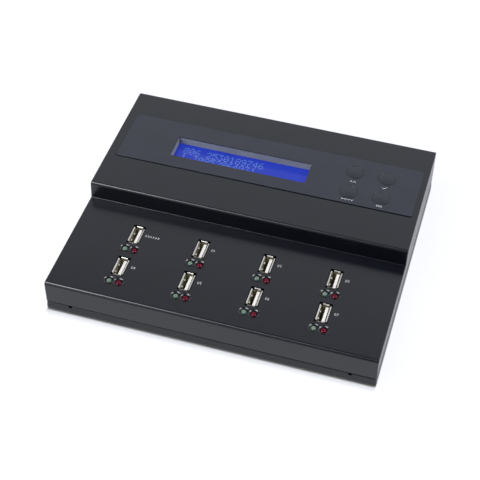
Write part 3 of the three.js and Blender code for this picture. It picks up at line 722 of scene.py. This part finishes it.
def make_tray():
    foot_bend = arc(TRAY_BEND, TRAY_BEND, TRAY_BEND, 270, 180, steps=5)
    lip_edge = arc(TRAY_LIP_EDGE, TRAY_LIP_EDGE, TRAY_LIP_EDGE, 180, 270, steps=3)
    levels = [tray_level(inset, TRAY_LOW.z + rise) for inset, rise in foot_bend]
    levels += [tray_level(inset, TRAY_WALL - drop, lean=1.0) for inset, drop in lip_edge]
    tray = loft("tray_steel", levels)
    hollow = tray_outline(SHEET, SHEET, TRAY_CORNER - SHEET)
    cut(tray, [prism("hollow", hollow, TRAY_LOW.z + SHEET, TRAY_WALL + OVERRUN)])
    shelf_inset = (TRAY_LEAN_Y + SHEET) / 2
    shelf_width = UPSTAND_INSET + SHEET - shelf_inset
    add(tray, [tray_ring("shelf", shelf_inset, shelf_width, TRAY_WALL - SHEET / 2, TRAY_WALL)])
    slots = []
    for x in (-CATCH_SLOT_X, CATCH_SLOT_X):
        half = CATCH_SLOT_WIDTH / 2
        slots.append(block("slot", (x - half, TRAY_LOW.y - OVERRUN, TRAY_WALL - CATCH_SLOT_DEPTH),
                           (x + half, TRAY_LOW.y + UPSTAND_INSET, TRAY_WALL + OVERRUN)))
    cut(tray, slots)
    add(tray, [tray_ring("upstand", UPSTAND_INSET, SHEET, TRAY_WALL - SHEET, TRAY_HIGH.z)])
    pillars = []
    for share in PILLAR_ROW_SHARES:
        row = MAIN_LOW.y + share * (MAIN_HIGH.y - MAIN_LOW.y)
        for x in (MAIN_LOW.x + PILLAR_INSET, MAIN_HIGH.x - PILLAR_INSET):
            pillars.append(rod("pillar", PILLAR_RADIUS, TRAY_LOW.z + SHEET / 2, MAIN_LOW.z, x, row))
    add(tray, pillars)
    hole_top = TRAY_LOW.z + 1.5 * SHEET
    cutters = [rod("screw_hole", POST_BORE, -OVERRUN, hole_top, p.x, p.y) for p in SCREWS]
    cutters.append(block(
        "inlet_notch",
        (INLET_LOW.x - LINING_GAP, TRAY_HIGH.y - UPSTAND_INSET - SHEET - OVERRUN, TRAY_WALL),
        (INLET_HIGH.x + LINING_GAP, COVER_HIGH.y - SHEET, TRAY_HIGH.z + OVERRUN),
    ))
    cut(tray, cutters)
    shade(tray)
    return dress(tray, PAINT, ["bottom_tray"])


def make_feet():
    low, high = box_mm("rubber_foot_1")
    radius = (high.x - low.x) / 2
    flat = radius - FOOT_TAPER - FOOT_EDGE
    edge = arc(flat, low.z + FOOT_EDGE, FOOT_EDGE, -90, 0, steps=4)
    profile = [(0, low.z), *edge, (radius, high.z), (0, high.z)]
    for n, p in enumerate(FEET, 1):
        foot = lathe(f"foot_{n}", profile, ROUND_SIDES, (p.x, p.y, 0))
        dress(shade(foot), RUBBER, [f"rubber_foot_{n}"])


def make_case_screws():
    low, high = box_mm("case_screw_1")
    profile = []
    for angle in HEAD_DOME_ANGLES:
        turn = math.radians(angle)
        profile.append((HEAD_RADIUS * math.sin(turn), low.z + HEAD_DOME * (1 - math.cos(turn))))
    neck = low.z + HEAD_HEIGHT
    profile += [(HEAD_RADIUS, neck), (SHANK_RADIUS, neck)]
    for thread in range(THREAD_TURNS):
        z = neck + THREAD_START + thread * THREAD_PITCH
        profile += [(SHANK_RADIUS - THREAD_DEPTH, z), (SHANK_RADIUS, z + THREAD_FLANK)]
    profile += [(SHANK_RADIUS * SHANK_TIP_SHARE, high.z), (0, high.z)]
    arms = ((RECESS_REACH, RECESS_HALF_WIDTH), (RECESS_HALF_WIDTH, RECESS_REACH))
    for n, p in enumerate(SCREWS, 1):
        screw = lathe(f"screw_{n}", profile, sides=28, place=(p.x, p.y, 0))
        for half_x, half_y in arms:
            cut(screw, [block("arm", (p.x - half_x, p.y - half_y, low.z - OVERRUN),
                              (p.x + half_x, p.y + half_y, low.z + RECESS_DEPTH))])
        dress(shade(screw), STEEL, [f"case_screw_{n}"])


# Sockets


def make_lip(name, span, flare, along, offset):
    """One lip of a socket's mouth, curled outwards. It stands at offset from the middle, on one side."""
    turn = math.radians(LIP_TURN)
    radius = flare / (1 - math.cos(turn))
    foot = SHELL_HIGH.z - LIP_HEIGHT - LIP_SINK
    centre = (offset + radius, SHELL_HIGH.z - (radius + LIP_WALL) * math.sin(turn))
    section = [(offset, foot)] + arc(*centre, radius, 180, 180 - LIP_TURN, steps=6)
    section += arc(*centre, radius + LIP_WALL, 180 - LIP_TURN, 180, steps=8)
    section.append((offset - LIP_WALL, foot))
    rings = []
    for end in (-span / 2, span / 2):
        if along == "Y":
            rings.append([(out, end, z) for out, z in section])
        else:
            rings.append([(end, out, z) for out, z in section])
    return loft(name, rings)


def mirrored(thing, axis):
    """The object with its mesh mirrored through the middle along one axis."""
    scale = Matrix.Diagonal((-1 if axis == "X" else 1, -1 if axis == "Y" else 1, 1, 1))
    thing.data.transform(scale)
    thing.data.flip_normals()
    return thing


def make_spring(name, y):
    """A leaf pressed in from the left wall, with the bump that grips a plug."""
    wall = SHELL_WALL - SHELL_WIDTH / 2
    top = SHELL_HIGH.z
    rings = []
    for end in (y - SPRING_WIDTH / 2, y + SPRING_WIDTH / 2):
        front = [(wall + out, end, top + z) for out, z in SPRING_BOW]
        back = [(wall + out - SPRING_THICKNESS, end, top + z) for out, z in reversed(SPRING_BOW)]
        rings.append(front + back)
    return loft(name, rings)


def make_shell():
    """A socket shell about X = Y = 0 at its real height, and its bright lips and springs apart."""
    top = SHELL_HIGH.z - LIP_HEIGHT
    shell = rounded_slab("shell", SHELL_WIDTH, SHELL_DEPTH, SHELL_CORNER, SHELL_LOW.z, top)
    cut(shell, [rounded_slab("bore", SHELL_WIDTH - 2 * SHELL_WALL, SHELL_DEPTH - 2 * SHELL_WALL,
                             SHELL_CORNER - SHELL_WALL, SHELL_LOW.z - OVERRUN, top + OVERRUN)])
    notches = []
    for x in (-SHELL_WIDTH / 2, SHELL_WIDTH / 2):
        for y in (-SHELL_DEPTH / 2, SHELL_DEPTH / 2):
            notches.append(block("notch", (x - CORNER_NOTCH, y - CORNER_NOTCH, top - CORNER_NOTCH_DEPTH),
                                 (x + CORNER_NOTCH, y + CORNER_NOTCH, top + OVERRUN)))
    cut(shell, notches)
    lips = []
    for side in (False, True):
        lip = make_lip("lip", SHELL_DEPTH - 2 * CORNER_NOTCH, LIP_FLARE_X, "Y", SHELL_WIDTH / 2)
        lips.append(mirrored(lip, "X") if side else lip)
        lip = make_lip("lip", SHELL_WIDTH - 2 * CORNER_NOTCH, LIP_FLARE_Y, "X", SHELL_DEPTH / 2)
        lips.append(mirrored(lip, "Y") if side else lip)
    springs = [make_spring("spring", y) for y in (-SPRING_ROW, SPRING_ROW)]
    shell.name = "socket_shell_steel"
    return shell, merge("socket_lips", lips + springs)


def make_tongue():
    """A socket's white moulding about X = Y = 0, with its blade to the right, and its contacts apart."""
    half_base = TONGUE_HIGH.x - SOCKETS[1].x
    blade_right = SHELL_WIDTH / 2 - SHELL_WALL - TONGUE_GAP
    blade_left = blade_right - TONGUE_THICKNESS
    base_z = TONGUE_LOW.z
    tip_z = TONGUE_HIGH.z - TONGUE_DROP
    depth = TONGUE_HIGH.y - TONGUE_LOW.y
    base = rounded_slab("base", 2 * half_base, depth, SHELL_CORNER - SHELL_WALL, base_z, base_z + TONGUE_BASE)
    blade = block("blade", (blade_left, -TONGUE_WIDTH / 2, base_z + TONGUE_BASE / 2),
                  (blade_right, TONGUE_WIDTH / 2, tip_z))
    add(base, [blade])
    slots = []
    pads = []
    foot_z = base_z + TONGUE_BASE + PAD_FOOT
    for y in PAD_ROWS:
        slots.append(block("slot", (blade_left - OVERRUN, y - PAD_SLOT_WIDTH / 2, foot_z),
                           (blade_left + PAD_SLOT_DEPTH, y + PAD_SLOT_WIDTH / 2, tip_z - PAD_SLOT_TIP)))
        pads.append(block("pad", (blade_left + PAD_SINK, y - PAD_WIDTH / 2, foot_z),
                          (blade_left + PAD_SLOT_DEPTH, y + PAD_WIDTH / 2, tip_z - PAD_TIP)))
    cut(base, slots)
    base.name = "socket_tongue_moulding"
    return base, merge("socket_contacts", pads)


def make_sockets():
    shell, lips = make_shell()
    shade(shell, angle=40)
    shade(lips, angle=40, bevel=LIP_EDGE)
    tongue, contacts = make_tongue()
    shade(tongue, angle=40, bevel=TONGUE_EDGE)
    shade(contacts, angle=40)
    for n, p in SOCKETS.items():
        shift = (p.x, p.y, 0)
        mouth = (p.x + MOUTH_SHIFT_X, p.y + MOUTH_SHIFT_Y, 0)
        # The shell takes the nickel darkened as painted shade; the lips and springs take the bright nickel
        dress(copy_of(shell, f"socket_mouth_{n}", mouth), SHADED_NICKEL, [f"socket_shell_{n}"])
        dress(copy_of(lips, f"socket_lips_{n}", mouth), NICKEL)
        dress(copy_of(tongue, f"socket_blade_{n}", shift), WHITE, [f"socket_tongue_{n}"])
        dress(copy_of(contacts, f"socket_pads_{n}", shift), GOLD)
    discard(shell, lips, tongue, contacts)


# Lamps


def make_lamps():
    top = LAMP_HIGH.z - LENS_DROP
    foot = LAMP_HIGH.z - LAMP_BODY
    profile = [(0, foot), (LENS_RADIUS, foot)]
    dome = arc(0, 0, 1, 0, 90, steps=8)
    profile += [(LENS_RADIUS * across, top - LENS_DOME * (1 - rise)) for across, rise in dome]
    profile[-1] = (0, top)
    lenses = {colour: shade(lathe("lens", profile), angle=40) for colour in ("green", "red")}
    half = LEG_WIDTH / 2
    board_top = MAIN_LOW.z + BOARD_THICKNESS
    legs = merge("legs", [
        block("leg", (x - half, -half, board_top), (x + half, half, foot))
        for x in (-LEG_SPACING / 2, LEG_SPACING / 2)
    ])
    shade(legs, angle=40)
    for key, p in LAMPS.items():
        colour = key.split("_")[0]
        glass = GREEN_LENS if colour == "green" else RED_LENS
        shift = (p.x, p.y, 0)
        dress(copy_of(lenses[colour], f"lens_{key}", shift), glass, [f"lamp_{key}"])
        dress(copy_of(legs, f"legs_{key}", shift), TIN)
    discard(*lenses.values(), legs)


# Control panel


def make_panel():
    reach = PANEL_SIDE_GAP - FILM_GAP
    width = PANEL_HIGH.x - PANEL_LOW.x + 2 * reach
    depth = PANEL_HIGH.y - PANEL_LOW.y + reach
    x = (PANEL_LOW.x + PANEL_HIGH.x) / 2
    y = (PANEL_LOW.y + PANEL_HIGH.y + reach) / 2
    film = rounded_slab("panel_film", width, depth, PANEL_CORNER, PAN_TOP, REAR_DECK, x, y)
    cut(film, panel_cutters(-LINING_WALL, PAN_TOP - OVERRUN, FINE_SIDES))
    shade(film, bevel=PANEL_EDGE)
    return dress(film, FILM, ["control_panel"])


def make_buttons():
    low = box_mm("button_up")[0]
    flange_radius, flange_height = CAP_FLANGE
    flange_top = PAN_UNDER - CAP_GAP
    profile = [
        (0, low.z),
        (CAP_STEM, low.z),
        (CAP_STEM, flange_top - flange_height),
        (flange_radius, flange_top - flange_height),
        (flange_radius, flange_top),
        (CAP_RADIUS, flange_top),
        (CAP_RADIUS, REAR_DECK - CAP_RIM[1]),
    ]
    crown = CAP_RADIUS - CAP_RIM[0]
    for i in range(CAP_STEPS + 1):
        share = 1 - i / CAP_STEPS
        drop = CAP_CONE_SHARE * share + (1 - CAP_CONE_SHARE) * share ** CAP_EDGE_POWER
        profile.append((crown * share, REAR_DECK + CAP_DOME * (1 - drop)))
    cap = shade(lathe("cap", profile, FINE_SIDES), angle=30)
    for name, p in BUTTONS.items():
        twin = copy_of(cap, f"cap_{name}", (p.x, p.y, 0))
        # The caps take the film darkened as painted shade
        dress(twin, SHADED_CAP_FILM, [f"button_{name}"], f"{name}_button")
    discard(cap)


# Display digits in a plain pattern of five by seven dots, written row by row from the top
DOT_PITCH = (0.65, 0.80)
DOT_SIZE = (0.48, 0.54)
CELL_PITCH = 3.85
FIRST_CELL_X = -56.02
ROW_TOPS = (130.86, 124.91)
DIGIT_ROWS = {
    "0": ".###. #...# #..## #.#.# ##..# #...# .###.",
    "1": "..#.. .##.. ..#.. ..#.. ..#.. ..#.. .###.",
    "2": ".###. #...# ....# ...#. ..#.. .#... #####",
    "3": "##### ...#. ..#.. ...#. ....# #...# .###.",
    "4": "...#. ..##. .#.#. #..#. ##### ...#. ...#.",
    "5": "##### #.... ####. ....# ....# #...# .###.",
    "6": "..##. .#... #.... ####. #...# #...# .###.",
    "7": "##### ....# ...#. ..#.. .#... .#... .#...",
    "8": ".###. #...# #...# .###. #...# #...# .###.",
    "9": ".###. #...# #...# .#### ....# ...#. .##..",
    ".": "..... ..... ..... ..... ..... .##.. .##..",
}
DISPLAY_ROWS = ("806 2530189746", "1.30952864031")


def letter_dots(letter, left, top):
    """The dots of one digit, whose first cell starts at left and top."""
    z0 = GLASS_HIGH.z - PRINT_SINK
    z1 = GLASS_HIGH.z + PRINT_HEIGHT
    dots = []
    for line, pattern in enumerate(DIGIT_ROWS[letter].split()):
        for column, mark in enumerate(pattern):
            if mark == "#":
                x = left + column * DOT_PITCH[0]
                y = top - line * DOT_PITCH[1]
                dots.append(block("dot", (x, y - DOT_SIZE[1], z0), (x + DOT_SIZE[0], y, z1)))
    return dots


def make_display():
    finish_node("display_frame", LINING)
    finish_node("display_glass", DISPLAY)
    finish_node("display_backlight", DIFFUSER)
    dots = []
    for text, top in zip(DISPLAY_ROWS, ROW_TOPS):
        for cell, letter in enumerate(text):
            if letter != " ":
                dots += letter_dots(letter, FIRST_CELL_X + cell * CELL_PITCH, TRAY_LOW.y + top)
    dress(merge("display_digits", dots), DIGIT)


# Printed marks
LABEL_SHIFT = (7.25, 0.7)
FIGURE_SIZE = 2.7
FIGURE_THINNING = 0.045
STROKE = 0.28
# A chevron as (length, height), the tick as a line through three points
CHEVRON = (0.9, 1.5)
TICK = ((-1.4, 0.1), (-0.4, -0.8), (1.5, 0.9))
# Rows of chevrons as (count, pitch, heading in degrees from X)
CHEVRON_ROWS = {"source": (6, 1.6, 0), "up": (2, 2.1, 90), "down": (4, 2.0, -90), "back": (3, 1.3, 180)}
SOURCE_SHIFT = 9.8
UPPER_LABELS = 126.2
LOWER_LABELS = 109.8
# Marks at the buttons as (row, shift along X from the button's middle)
BUTTON_MARKS = {
    "up": (UPPER_LABELS, 0.4),
    "down": (LOWER_LABELS, 0.5),
    "enter": (UPPER_LABELS, 0.1),
    "back": (LOWER_LABELS, 0.2),
}


def label_text(name, text, x, y, z):
    """Plain printed figures that stand just proud of the surface."""
    curve = bpy.data.curves.new(name, "FONT")
    curve.body = text
    curve.size = FIGURE_SIZE * MM
    curve.align_x = "CENTER"
    curve.align_y = "CENTER"
    curve.extrude = PRINT_HEIGHT * MM / 2
    curve.offset = -FIGURE_THINNING * MM
    holder = new_object(name + "_text", curve)
    mesh = evaluated_mesh(holder)
    discard(holder)
    mesh.transform(Matrix.Translation(Vector((x, y, z + PRINT_HEIGHT / 2 - PRINT_SINK)) * MM))
    return dress(new_object(name, mesh), PRINT)


def label_shape(name, outlines, x, y, z):
    """A printed symbol from one or more closed outlines, in millimetres about its middle."""
    parts = []
    for outline in outlines:
        moved = [(x + px, y + py) for px, py in outline]
        parts.append(prism("mark", moved, z - PRINT_SINK, z + PRINT_HEIGHT))
    return dress(merge(name, parts), PRINT)


def stroke_outlines(points):
    """A thin line through points as a row of bars."""
    outlines = []
    for (ax, ay), (bx, by) in zip(points, points[1:]):
        length = math.hypot(bx - ax, by - ay)
        sx, sy = (ay - by) / length * STROKE / 2, (bx - ax) / length * STROKE / 2
        outlines.append([(ax - sx, ay - sy), (bx - sx, by - sy), (bx + sx, by + sy), (ax + sx, ay + sy)])
    return outlines


def chevron_outlines(count, pitch, heading):
    """A row of thin chevrons along X that point to heading, in degrees from X."""
    turn = math.radians(heading)
    length, height = CHEVRON
    corners = ((-length / 2, height / 2), (length / 2, 0), (-length / 2, -height / 2))
    outlines = []
    for i in range(count):
        middle = (i - (count - 1) / 2) * pitch
        marks = []
        for along, aside in corners:
            x = along * math.cos(turn) - aside * math.sin(turn)
            y = along * math.sin(turn) + aside * math.cos(turn)
            marks.append((middle + x, y))
        outlines += stroke_outlines(marks)
    return outlines


def make_labels():
    for n, p in SOCKETS.items():
        if n > 1:
            x, y = p.x + LABEL_SHIFT[0], p.y + LABEL_SHIFT[1]
            label_text(f"label_port_{n}", f"0{n - 1}", x, y, FRONT_DECK)
    first = SOCKETS[1]
    outlines = chevron_outlines(*CHEVRON_ROWS["source"])
    label_shape("label_source", outlines, first.x + SOURCE_SHIFT, first.y + LABEL_SHIFT[1], FRONT_DECK)
    for name, (row, shift) in BUTTON_MARKS.items():
        outlines = stroke_outlines(TICK) if name == "enter" else chevron_outlines(*CHEVRON_ROWS[name])
        label_shape(f"label_{name}", outlines, BUTTONS[name].x + shift, TRAY_LOW.y + row, REAR_DECK)


# Back wall


def inlet_turned(name, profile, sides):
    """A round piece on the inlet's axis, from points of (radius, distance in from the inlet's end)."""
    return lathe(name, [(radius, INLET_HIGH.y - depth) for radius, depth in profile], sides, INLET_AXIS, "Y")


def make_inlet():
    """A block behind the wall, with a round nose through it, a bore and a centre pin."""
    wall = COVER_HIGH.y - SHEET - LINING_GAP
    root = INLET_HIGH.y - wall + OVERRUN
    nose = [(0, root), (INLET_NOSE, root), (INLET_NOSE, INLET_NOSE_EDGE)]
    nose += [(INLET_NOSE - INLET_NOSE_EDGE, 0), (0, 0)]
    mouth = INLET_BORE + INLET_BORE_EDGE
    bore = [(0, INLET_BORE_DEPTH), (INLET_BORE, INLET_BORE_DEPTH), (INLET_BORE, INLET_BORE_EDGE)]
    bore += [(mouth, 0), (mouth, -OVERRUN), (0, -OVERRUN)]
    body = block("inlet_moulding", INLET_LOW, (INLET_HIGH.x, wall, INLET_HIGH.z))
    add(body, [inlet_turned("nose", nose, ROUND_SIDES)])
    cut(body, [inlet_turned("bore", bore, ROUND_SIDES)])
    dress(shade(body, angle=30), BLACK, ["power_inlet"])
    pin = inlet_turned("inlet_pin", INLET_PIN, sides=24)
    dress(shade(pin, angle=40), NICKEL)


def make_switch_housing(pivot, inner):
    """The housing and its bezel, with the well, the mouth and the pin holes that take the rocker."""
    back = COVER_HIGH.y
    face = back + SWITCH_BEZEL
    low, high = (SWITCH_LOW.x, back, SWITCH_LOW.z), (SWITCH_HIGH.x, face, SWITCH_HIGH.z)
    housing = block("switch_housing", low, high)
    half_width, half_height = (side / 2 - SWITCH_FIT for side in SWITCH_CUT)
    add(housing, [bar("body", pivot.x, pivot.z, half_width, half_height, inner, back + SWITCH_LAP)])
    well = ROCKER_RADIUS + WELL_GAP
    half_well = ROCKER_HEIGHT / 2 + WELL_GAP
    cut(housing, [rod("well", well, pivot.z - half_well, pivot.z + half_well, pivot.x, pivot.y, FINE_SIDES)])
    cut(housing, [bar("mouth", pivot.x, pivot.z, well, half_well, pivot.y, face + OVERRUN)])
    reach = ROCKER_HEIGHT / 2 + PIVOT_REACH + PIVOT_GAP
    pin_hole = rod("pin_hole", PIVOT_RADIUS + PIVOT_GAP, pivot.z - reach, pivot.z + reach, pivot.x, pivot.y)
    cut(housing, [pin_hole])
    dress(shade(housing, angle=30, bevel=SWITCH_EDGE), GLOSS_BLACK, ["switch_body"])


def make_switch_terminals(pivot, inner):
    width, length, height = TERMINAL_SIZE
    ends = (inner - length, inner + SWITCH_LAP)
    terminals = []
    for side in (-1, 1):
        x = pivot.x + side * ROCKER_RADIUS / 2
        terminals.append(bar("terminal", x, pivot.z, width / 2, height / 2, *ends))
    dress(shade(merge("switch_terminals", terminals), angle=30), TIN)


def make_rocker(pivot):
    """A round rocker with a dished face between two corners, tipped to one side at rest."""
    outline = arc(0, 0, ROCKER_RADIUS, 180 - ROCKER_CORNER, 360 + ROCKER_CORNER, steps=36)
    left, right = outline[0], outline[-1]
    for i in range(1, ROCKER_FACE_STEPS):
        share = i / ROCKER_FACE_STEPS
        x = right[0] + (left[0] - right[0]) * share
        outline.append((x, right[1] - ROCKER_DIP * math.sin(math.pi * share)))
    half = ROCKER_HEIGHT / 2
    rocker = prism("rocker", outline, -half, half)
    add(rocker, [rod("pin", PIVOT_RADIUS, -half - PIVOT_REACH, half + PIVOT_REACH)])
    turn = Matrix.Rotation(math.radians(-ROCKER_TILT), 4, "Z")
    rocker.data.transform(Matrix.Translation(pivot * MM) @ turn)
    shade(rocker, angle=30, bevel=ROCKER_EDGE)
    dress(rocker, GLOSS_BLACK, ["switch_rocker"], "power_rocker")


def make_switch():
    face = COVER_HIGH.y + SWITCH_BEZEL
    pivot = Vector((SWITCH_MIDDLE.x, face - PIVOT_SINK, SWITCH_MIDDLE.z))
    make_switch_housing(pivot, face - SWITCH_DEPTH)
    make_switch_terminals(pivot, face - SWITCH_DEPTH)
    make_rocker(pivot)


# Inner pieces, seen only through gaps


def make_inner():
    finish_node("main_board", LAMINATE)
    finish_node("control_board", LAMINATE)
    finish_node("ribbon_cable", RIBBON)
    for name in BUTTON_NAMES:
        finish_node(f"key_switch_{name}", BLACK)


# Studio
FLOOR_HALF_SIZE = 6000.0
FLOOR_GLOW = 0.06
FLOOR_BASE = (0.15, 0.15, 0.15)
FLOOR_SUN_TILTS = (0.5, 1.6, 3.4, 6.4, 12.0)
FLOOR_SUN_SPREAD = 2.0
FLOOR_SUN_POWER = 3.7
FLOOR_SUN_COLOUR = (0.98, 1.0, 1.06)
# Area lights in metres as (place, size, power)
AREA_LIGHTS = {
    "left_box": ((-0.67, -0.37, 1.25), 0.5, 8),
    "right_box": ((0.88, 0.18, 1.3), 0.7, 18),
}
LIGHT_TARGET = (0, 0, 0.02)


def floor_material():
    """A matt pale floor with a faint glow of its own."""
    material = bpy.data.materials.new("pale_floor")
    material.use_nodes = True
    tree = material.node_tree
    set_inputs(tree, tree.nodes["Principled BSDF"], {
        "Base Color": (*FLOOR_BASE, 1),
        "Roughness": 1.0,
        "Specular IOR Level": 0.0,
        "Emission Color": (1, 1, 1, 1),
        "Emission Strength": FLOOR_GLOW,
    })
    return material


def make_floor():
    half = FLOOR_HALF_SIZE
    corners = [(-half, -half, 0), (half, -half, 0), (half, half, 0), (-half, half, 0)]
    floor = mesh_object("floor", corners, [(0, 1, 2, 3)])
    floor.data.materials.append(floor_material())
    return floor


def light_list(name, floor, state):
    """The collection that names the floor as the one thing a light reaches, or the one it leaves out."""
    receivers = bpy.data.collections.new(name)
    receivers.objects.link(floor)
    receivers.collection_objects[0].light_linking.link_state = state
    return receivers


def add_light(name, kind, power, receivers):
    """A light and its object, with the collection that says what the light reaches."""
    light = bpy.data.lights.new(name, kind)
    light.energy = power
    holder = new_object(name, light)
    holder.light_linking.receiver_collection = receivers
    return light, holder


def make_floor_suns(receivers):
    """Soft light from nearly overhead on the floor alone, tilted back to keep a contact shade in front."""
    for n, tilt in enumerate(FLOOR_SUN_TILTS, 1):
        sun, holder = add_light(f"floor_sun_{n}", "SUN", FLOOR_SUN_POWER, receivers)
        sun.color = FLOOR_SUN_COLOUR
        sun.angle = math.radians(FLOOR_SUN_SPREAD)
        holder.rotation_euler = (math.radians(-tilt), 0, 0)


def make_area_lights(receivers):
    """Square lights that face the object."""
    for name, (place, size, power) in AREA_LIGHTS.items():
        lamp, holder = add_light(name, "AREA", power, receivers)
        lamp.size = size
        holder.location = place
        holder.rotation_mode = "QUATERNION"
        holder.rotation_quaternion = (Vector(LIGHT_TARGET) - Vector(place)).to_track_quat("-Z", "Y")


# Sky levels by the angle in degrees from the back horizon, over the zenith, to the front horizon
SKY_STOPS = (
    (0, 1.0), (42, 1.0), (51.5, 0.85), (54, 0.5), (57, 0.15), (112, 0.12), (126, 0.05), (180, 0.05),
)
STRIP_STOPS = (
    (0, 0.0), (104, 0.0), (107, 1.0), (115, 1.0), (119, 0.16), (152, 0.14), (166, 0.02), (180, 0.02),
)
STRIP_LEVEL = 11.0
# Share of the strip by the x of the direction, moved up by one half
STRIP_FADE_SHIFT = 0.5
STRIP_FADE = (
    (0.0, 1.0), (0.2, 1.0), (0.263, 0.66), (0.33, 0.42), (0.384, 0.2), (0.425, 0.09), (0.5, 0.0), (1.0, 0.0),
)
SKY_COLOUR = (0.985, 1.0, 1.05)


def grey_ramp(tree, factor, stops):
    """The level at a factor, through (position, level) stops."""
    ramp = add_node(tree, "ShaderNodeValToRGB", {"Fac": factor})
    elements = ramp.color_ramp.elements
    elements[0].position, elements[1].position = stops[0][0], stops[-1][0]
    for position, _ in stops[1:-1]:
        elements.new(position)
    for element, (_, level) in zip(elements, stops):
        element.color = (level, level, level, 1)
    return ramp.outputs["Color"]


def arithmetic(tree, operation, *inputs):
    """The result of a math node. Each input is a number or the socket that feeds it."""
    node = tree.nodes.new("ShaderNodeMath")
    node.operation = operation
    return set_inputs(tree, node, dict(enumerate(inputs))).outputs["Value"]


def make_world():
    """A studio sky: bright behind, dark overhead, with one strip light high up at the front left."""
    world = bpy.data.worlds.new("studio")
    bpy.context.scene.world = world
    world.use_nodes = True
    tree = world.node_tree
    place = tree.nodes.new("ShaderNodeTexCoord").outputs["Generated"]
    direction = add_node(tree, "ShaderNodeSeparateXYZ", {"Vector": place}).outputs
    angle = arithmetic(tree, "ARCTAN2", direction["Z"], direction["Y"])
    share = arithmetic(tree, "DIVIDE", angle, math.pi)
    across = arithmetic(tree, "ADD", direction["X"], STRIP_FADE_SHIFT)
    sky, strip = (
        grey_ramp(tree, share, [(degrees / 180, level) for degrees, level in stops])
        for stops in (SKY_STOPS, STRIP_STOPS)
    )
    faded = arithmetic(tree, "MULTIPLY", strip, grey_ramp(tree, across, STRIP_FADE))
    total = arithmetic(tree, "MULTIPLY_ADD", faded, STRIP_LEVEL, sky)
    set_inputs(tree, tree.nodes["Background"], {"Color": (*SKY_COLOUR, 1), "Strength": total})


# Camera fitted to the photograph's frame of 480 by 480
CAMERA_AZIMUTH = 16.36
CAMERA_ELEVATION = 46.45
CAMERA_ROLL = 0.51
CAMERA_PLACE = (144.17, -424.23, 560.04)
CAMERA_LENS = 92.15
SENSOR = 36.0


def make_camera():
    data = bpy.data.cameras.new("camera")
    data.sensor_width = SENSOR
    data.lens = CAMERA_LENS
    camera = new_object("camera", data)
    bpy.context.scene.camera = camera
    a, e, r = (math.radians(v) for v in (CAMERA_AZIMUTH, CAMERA_ELEVATION, CAMERA_ROLL))
    back = Vector((math.sin(a) * math.cos(e), -math.cos(a) * math.cos(e), math.sin(e)))
    right = Vector((math.cos(a), math.sin(a), 0))
    up = back.cross(right)
    rolled_right = math.cos(r) * right + math.sin(r) * up
    rolled_up = -math.sin(r) * right + math.cos(r) * up
    turn = Matrix((rolled_right, rolled_up, back)).transposed().to_4x4()
    x, y, z = CAMERA_PLACE
    place = Vector((x, y + TRAY_LOW.y, z + FLOOR_GAP)) * MM
    camera.matrix_world = Matrix.Translation(place) @ turn


make_camera()
make_world()
studio_floor = make_floor()
make_area_lights(light_list("all_but_floor", studio_floor, "EXCLUDE"))
make_floor_suns(light_list("floor_only", studio_floor, "INCLUDE"))
make_cover()
make_tray()
make_feet()
make_case_screws()
make_sockets()
make_lamps()
make_panel()
make_buttons()
make_display()
make_labels()
make_inlet()
make_switch()
make_inner()

bpy.context.scene.view_settings.view_transform = "Standard"
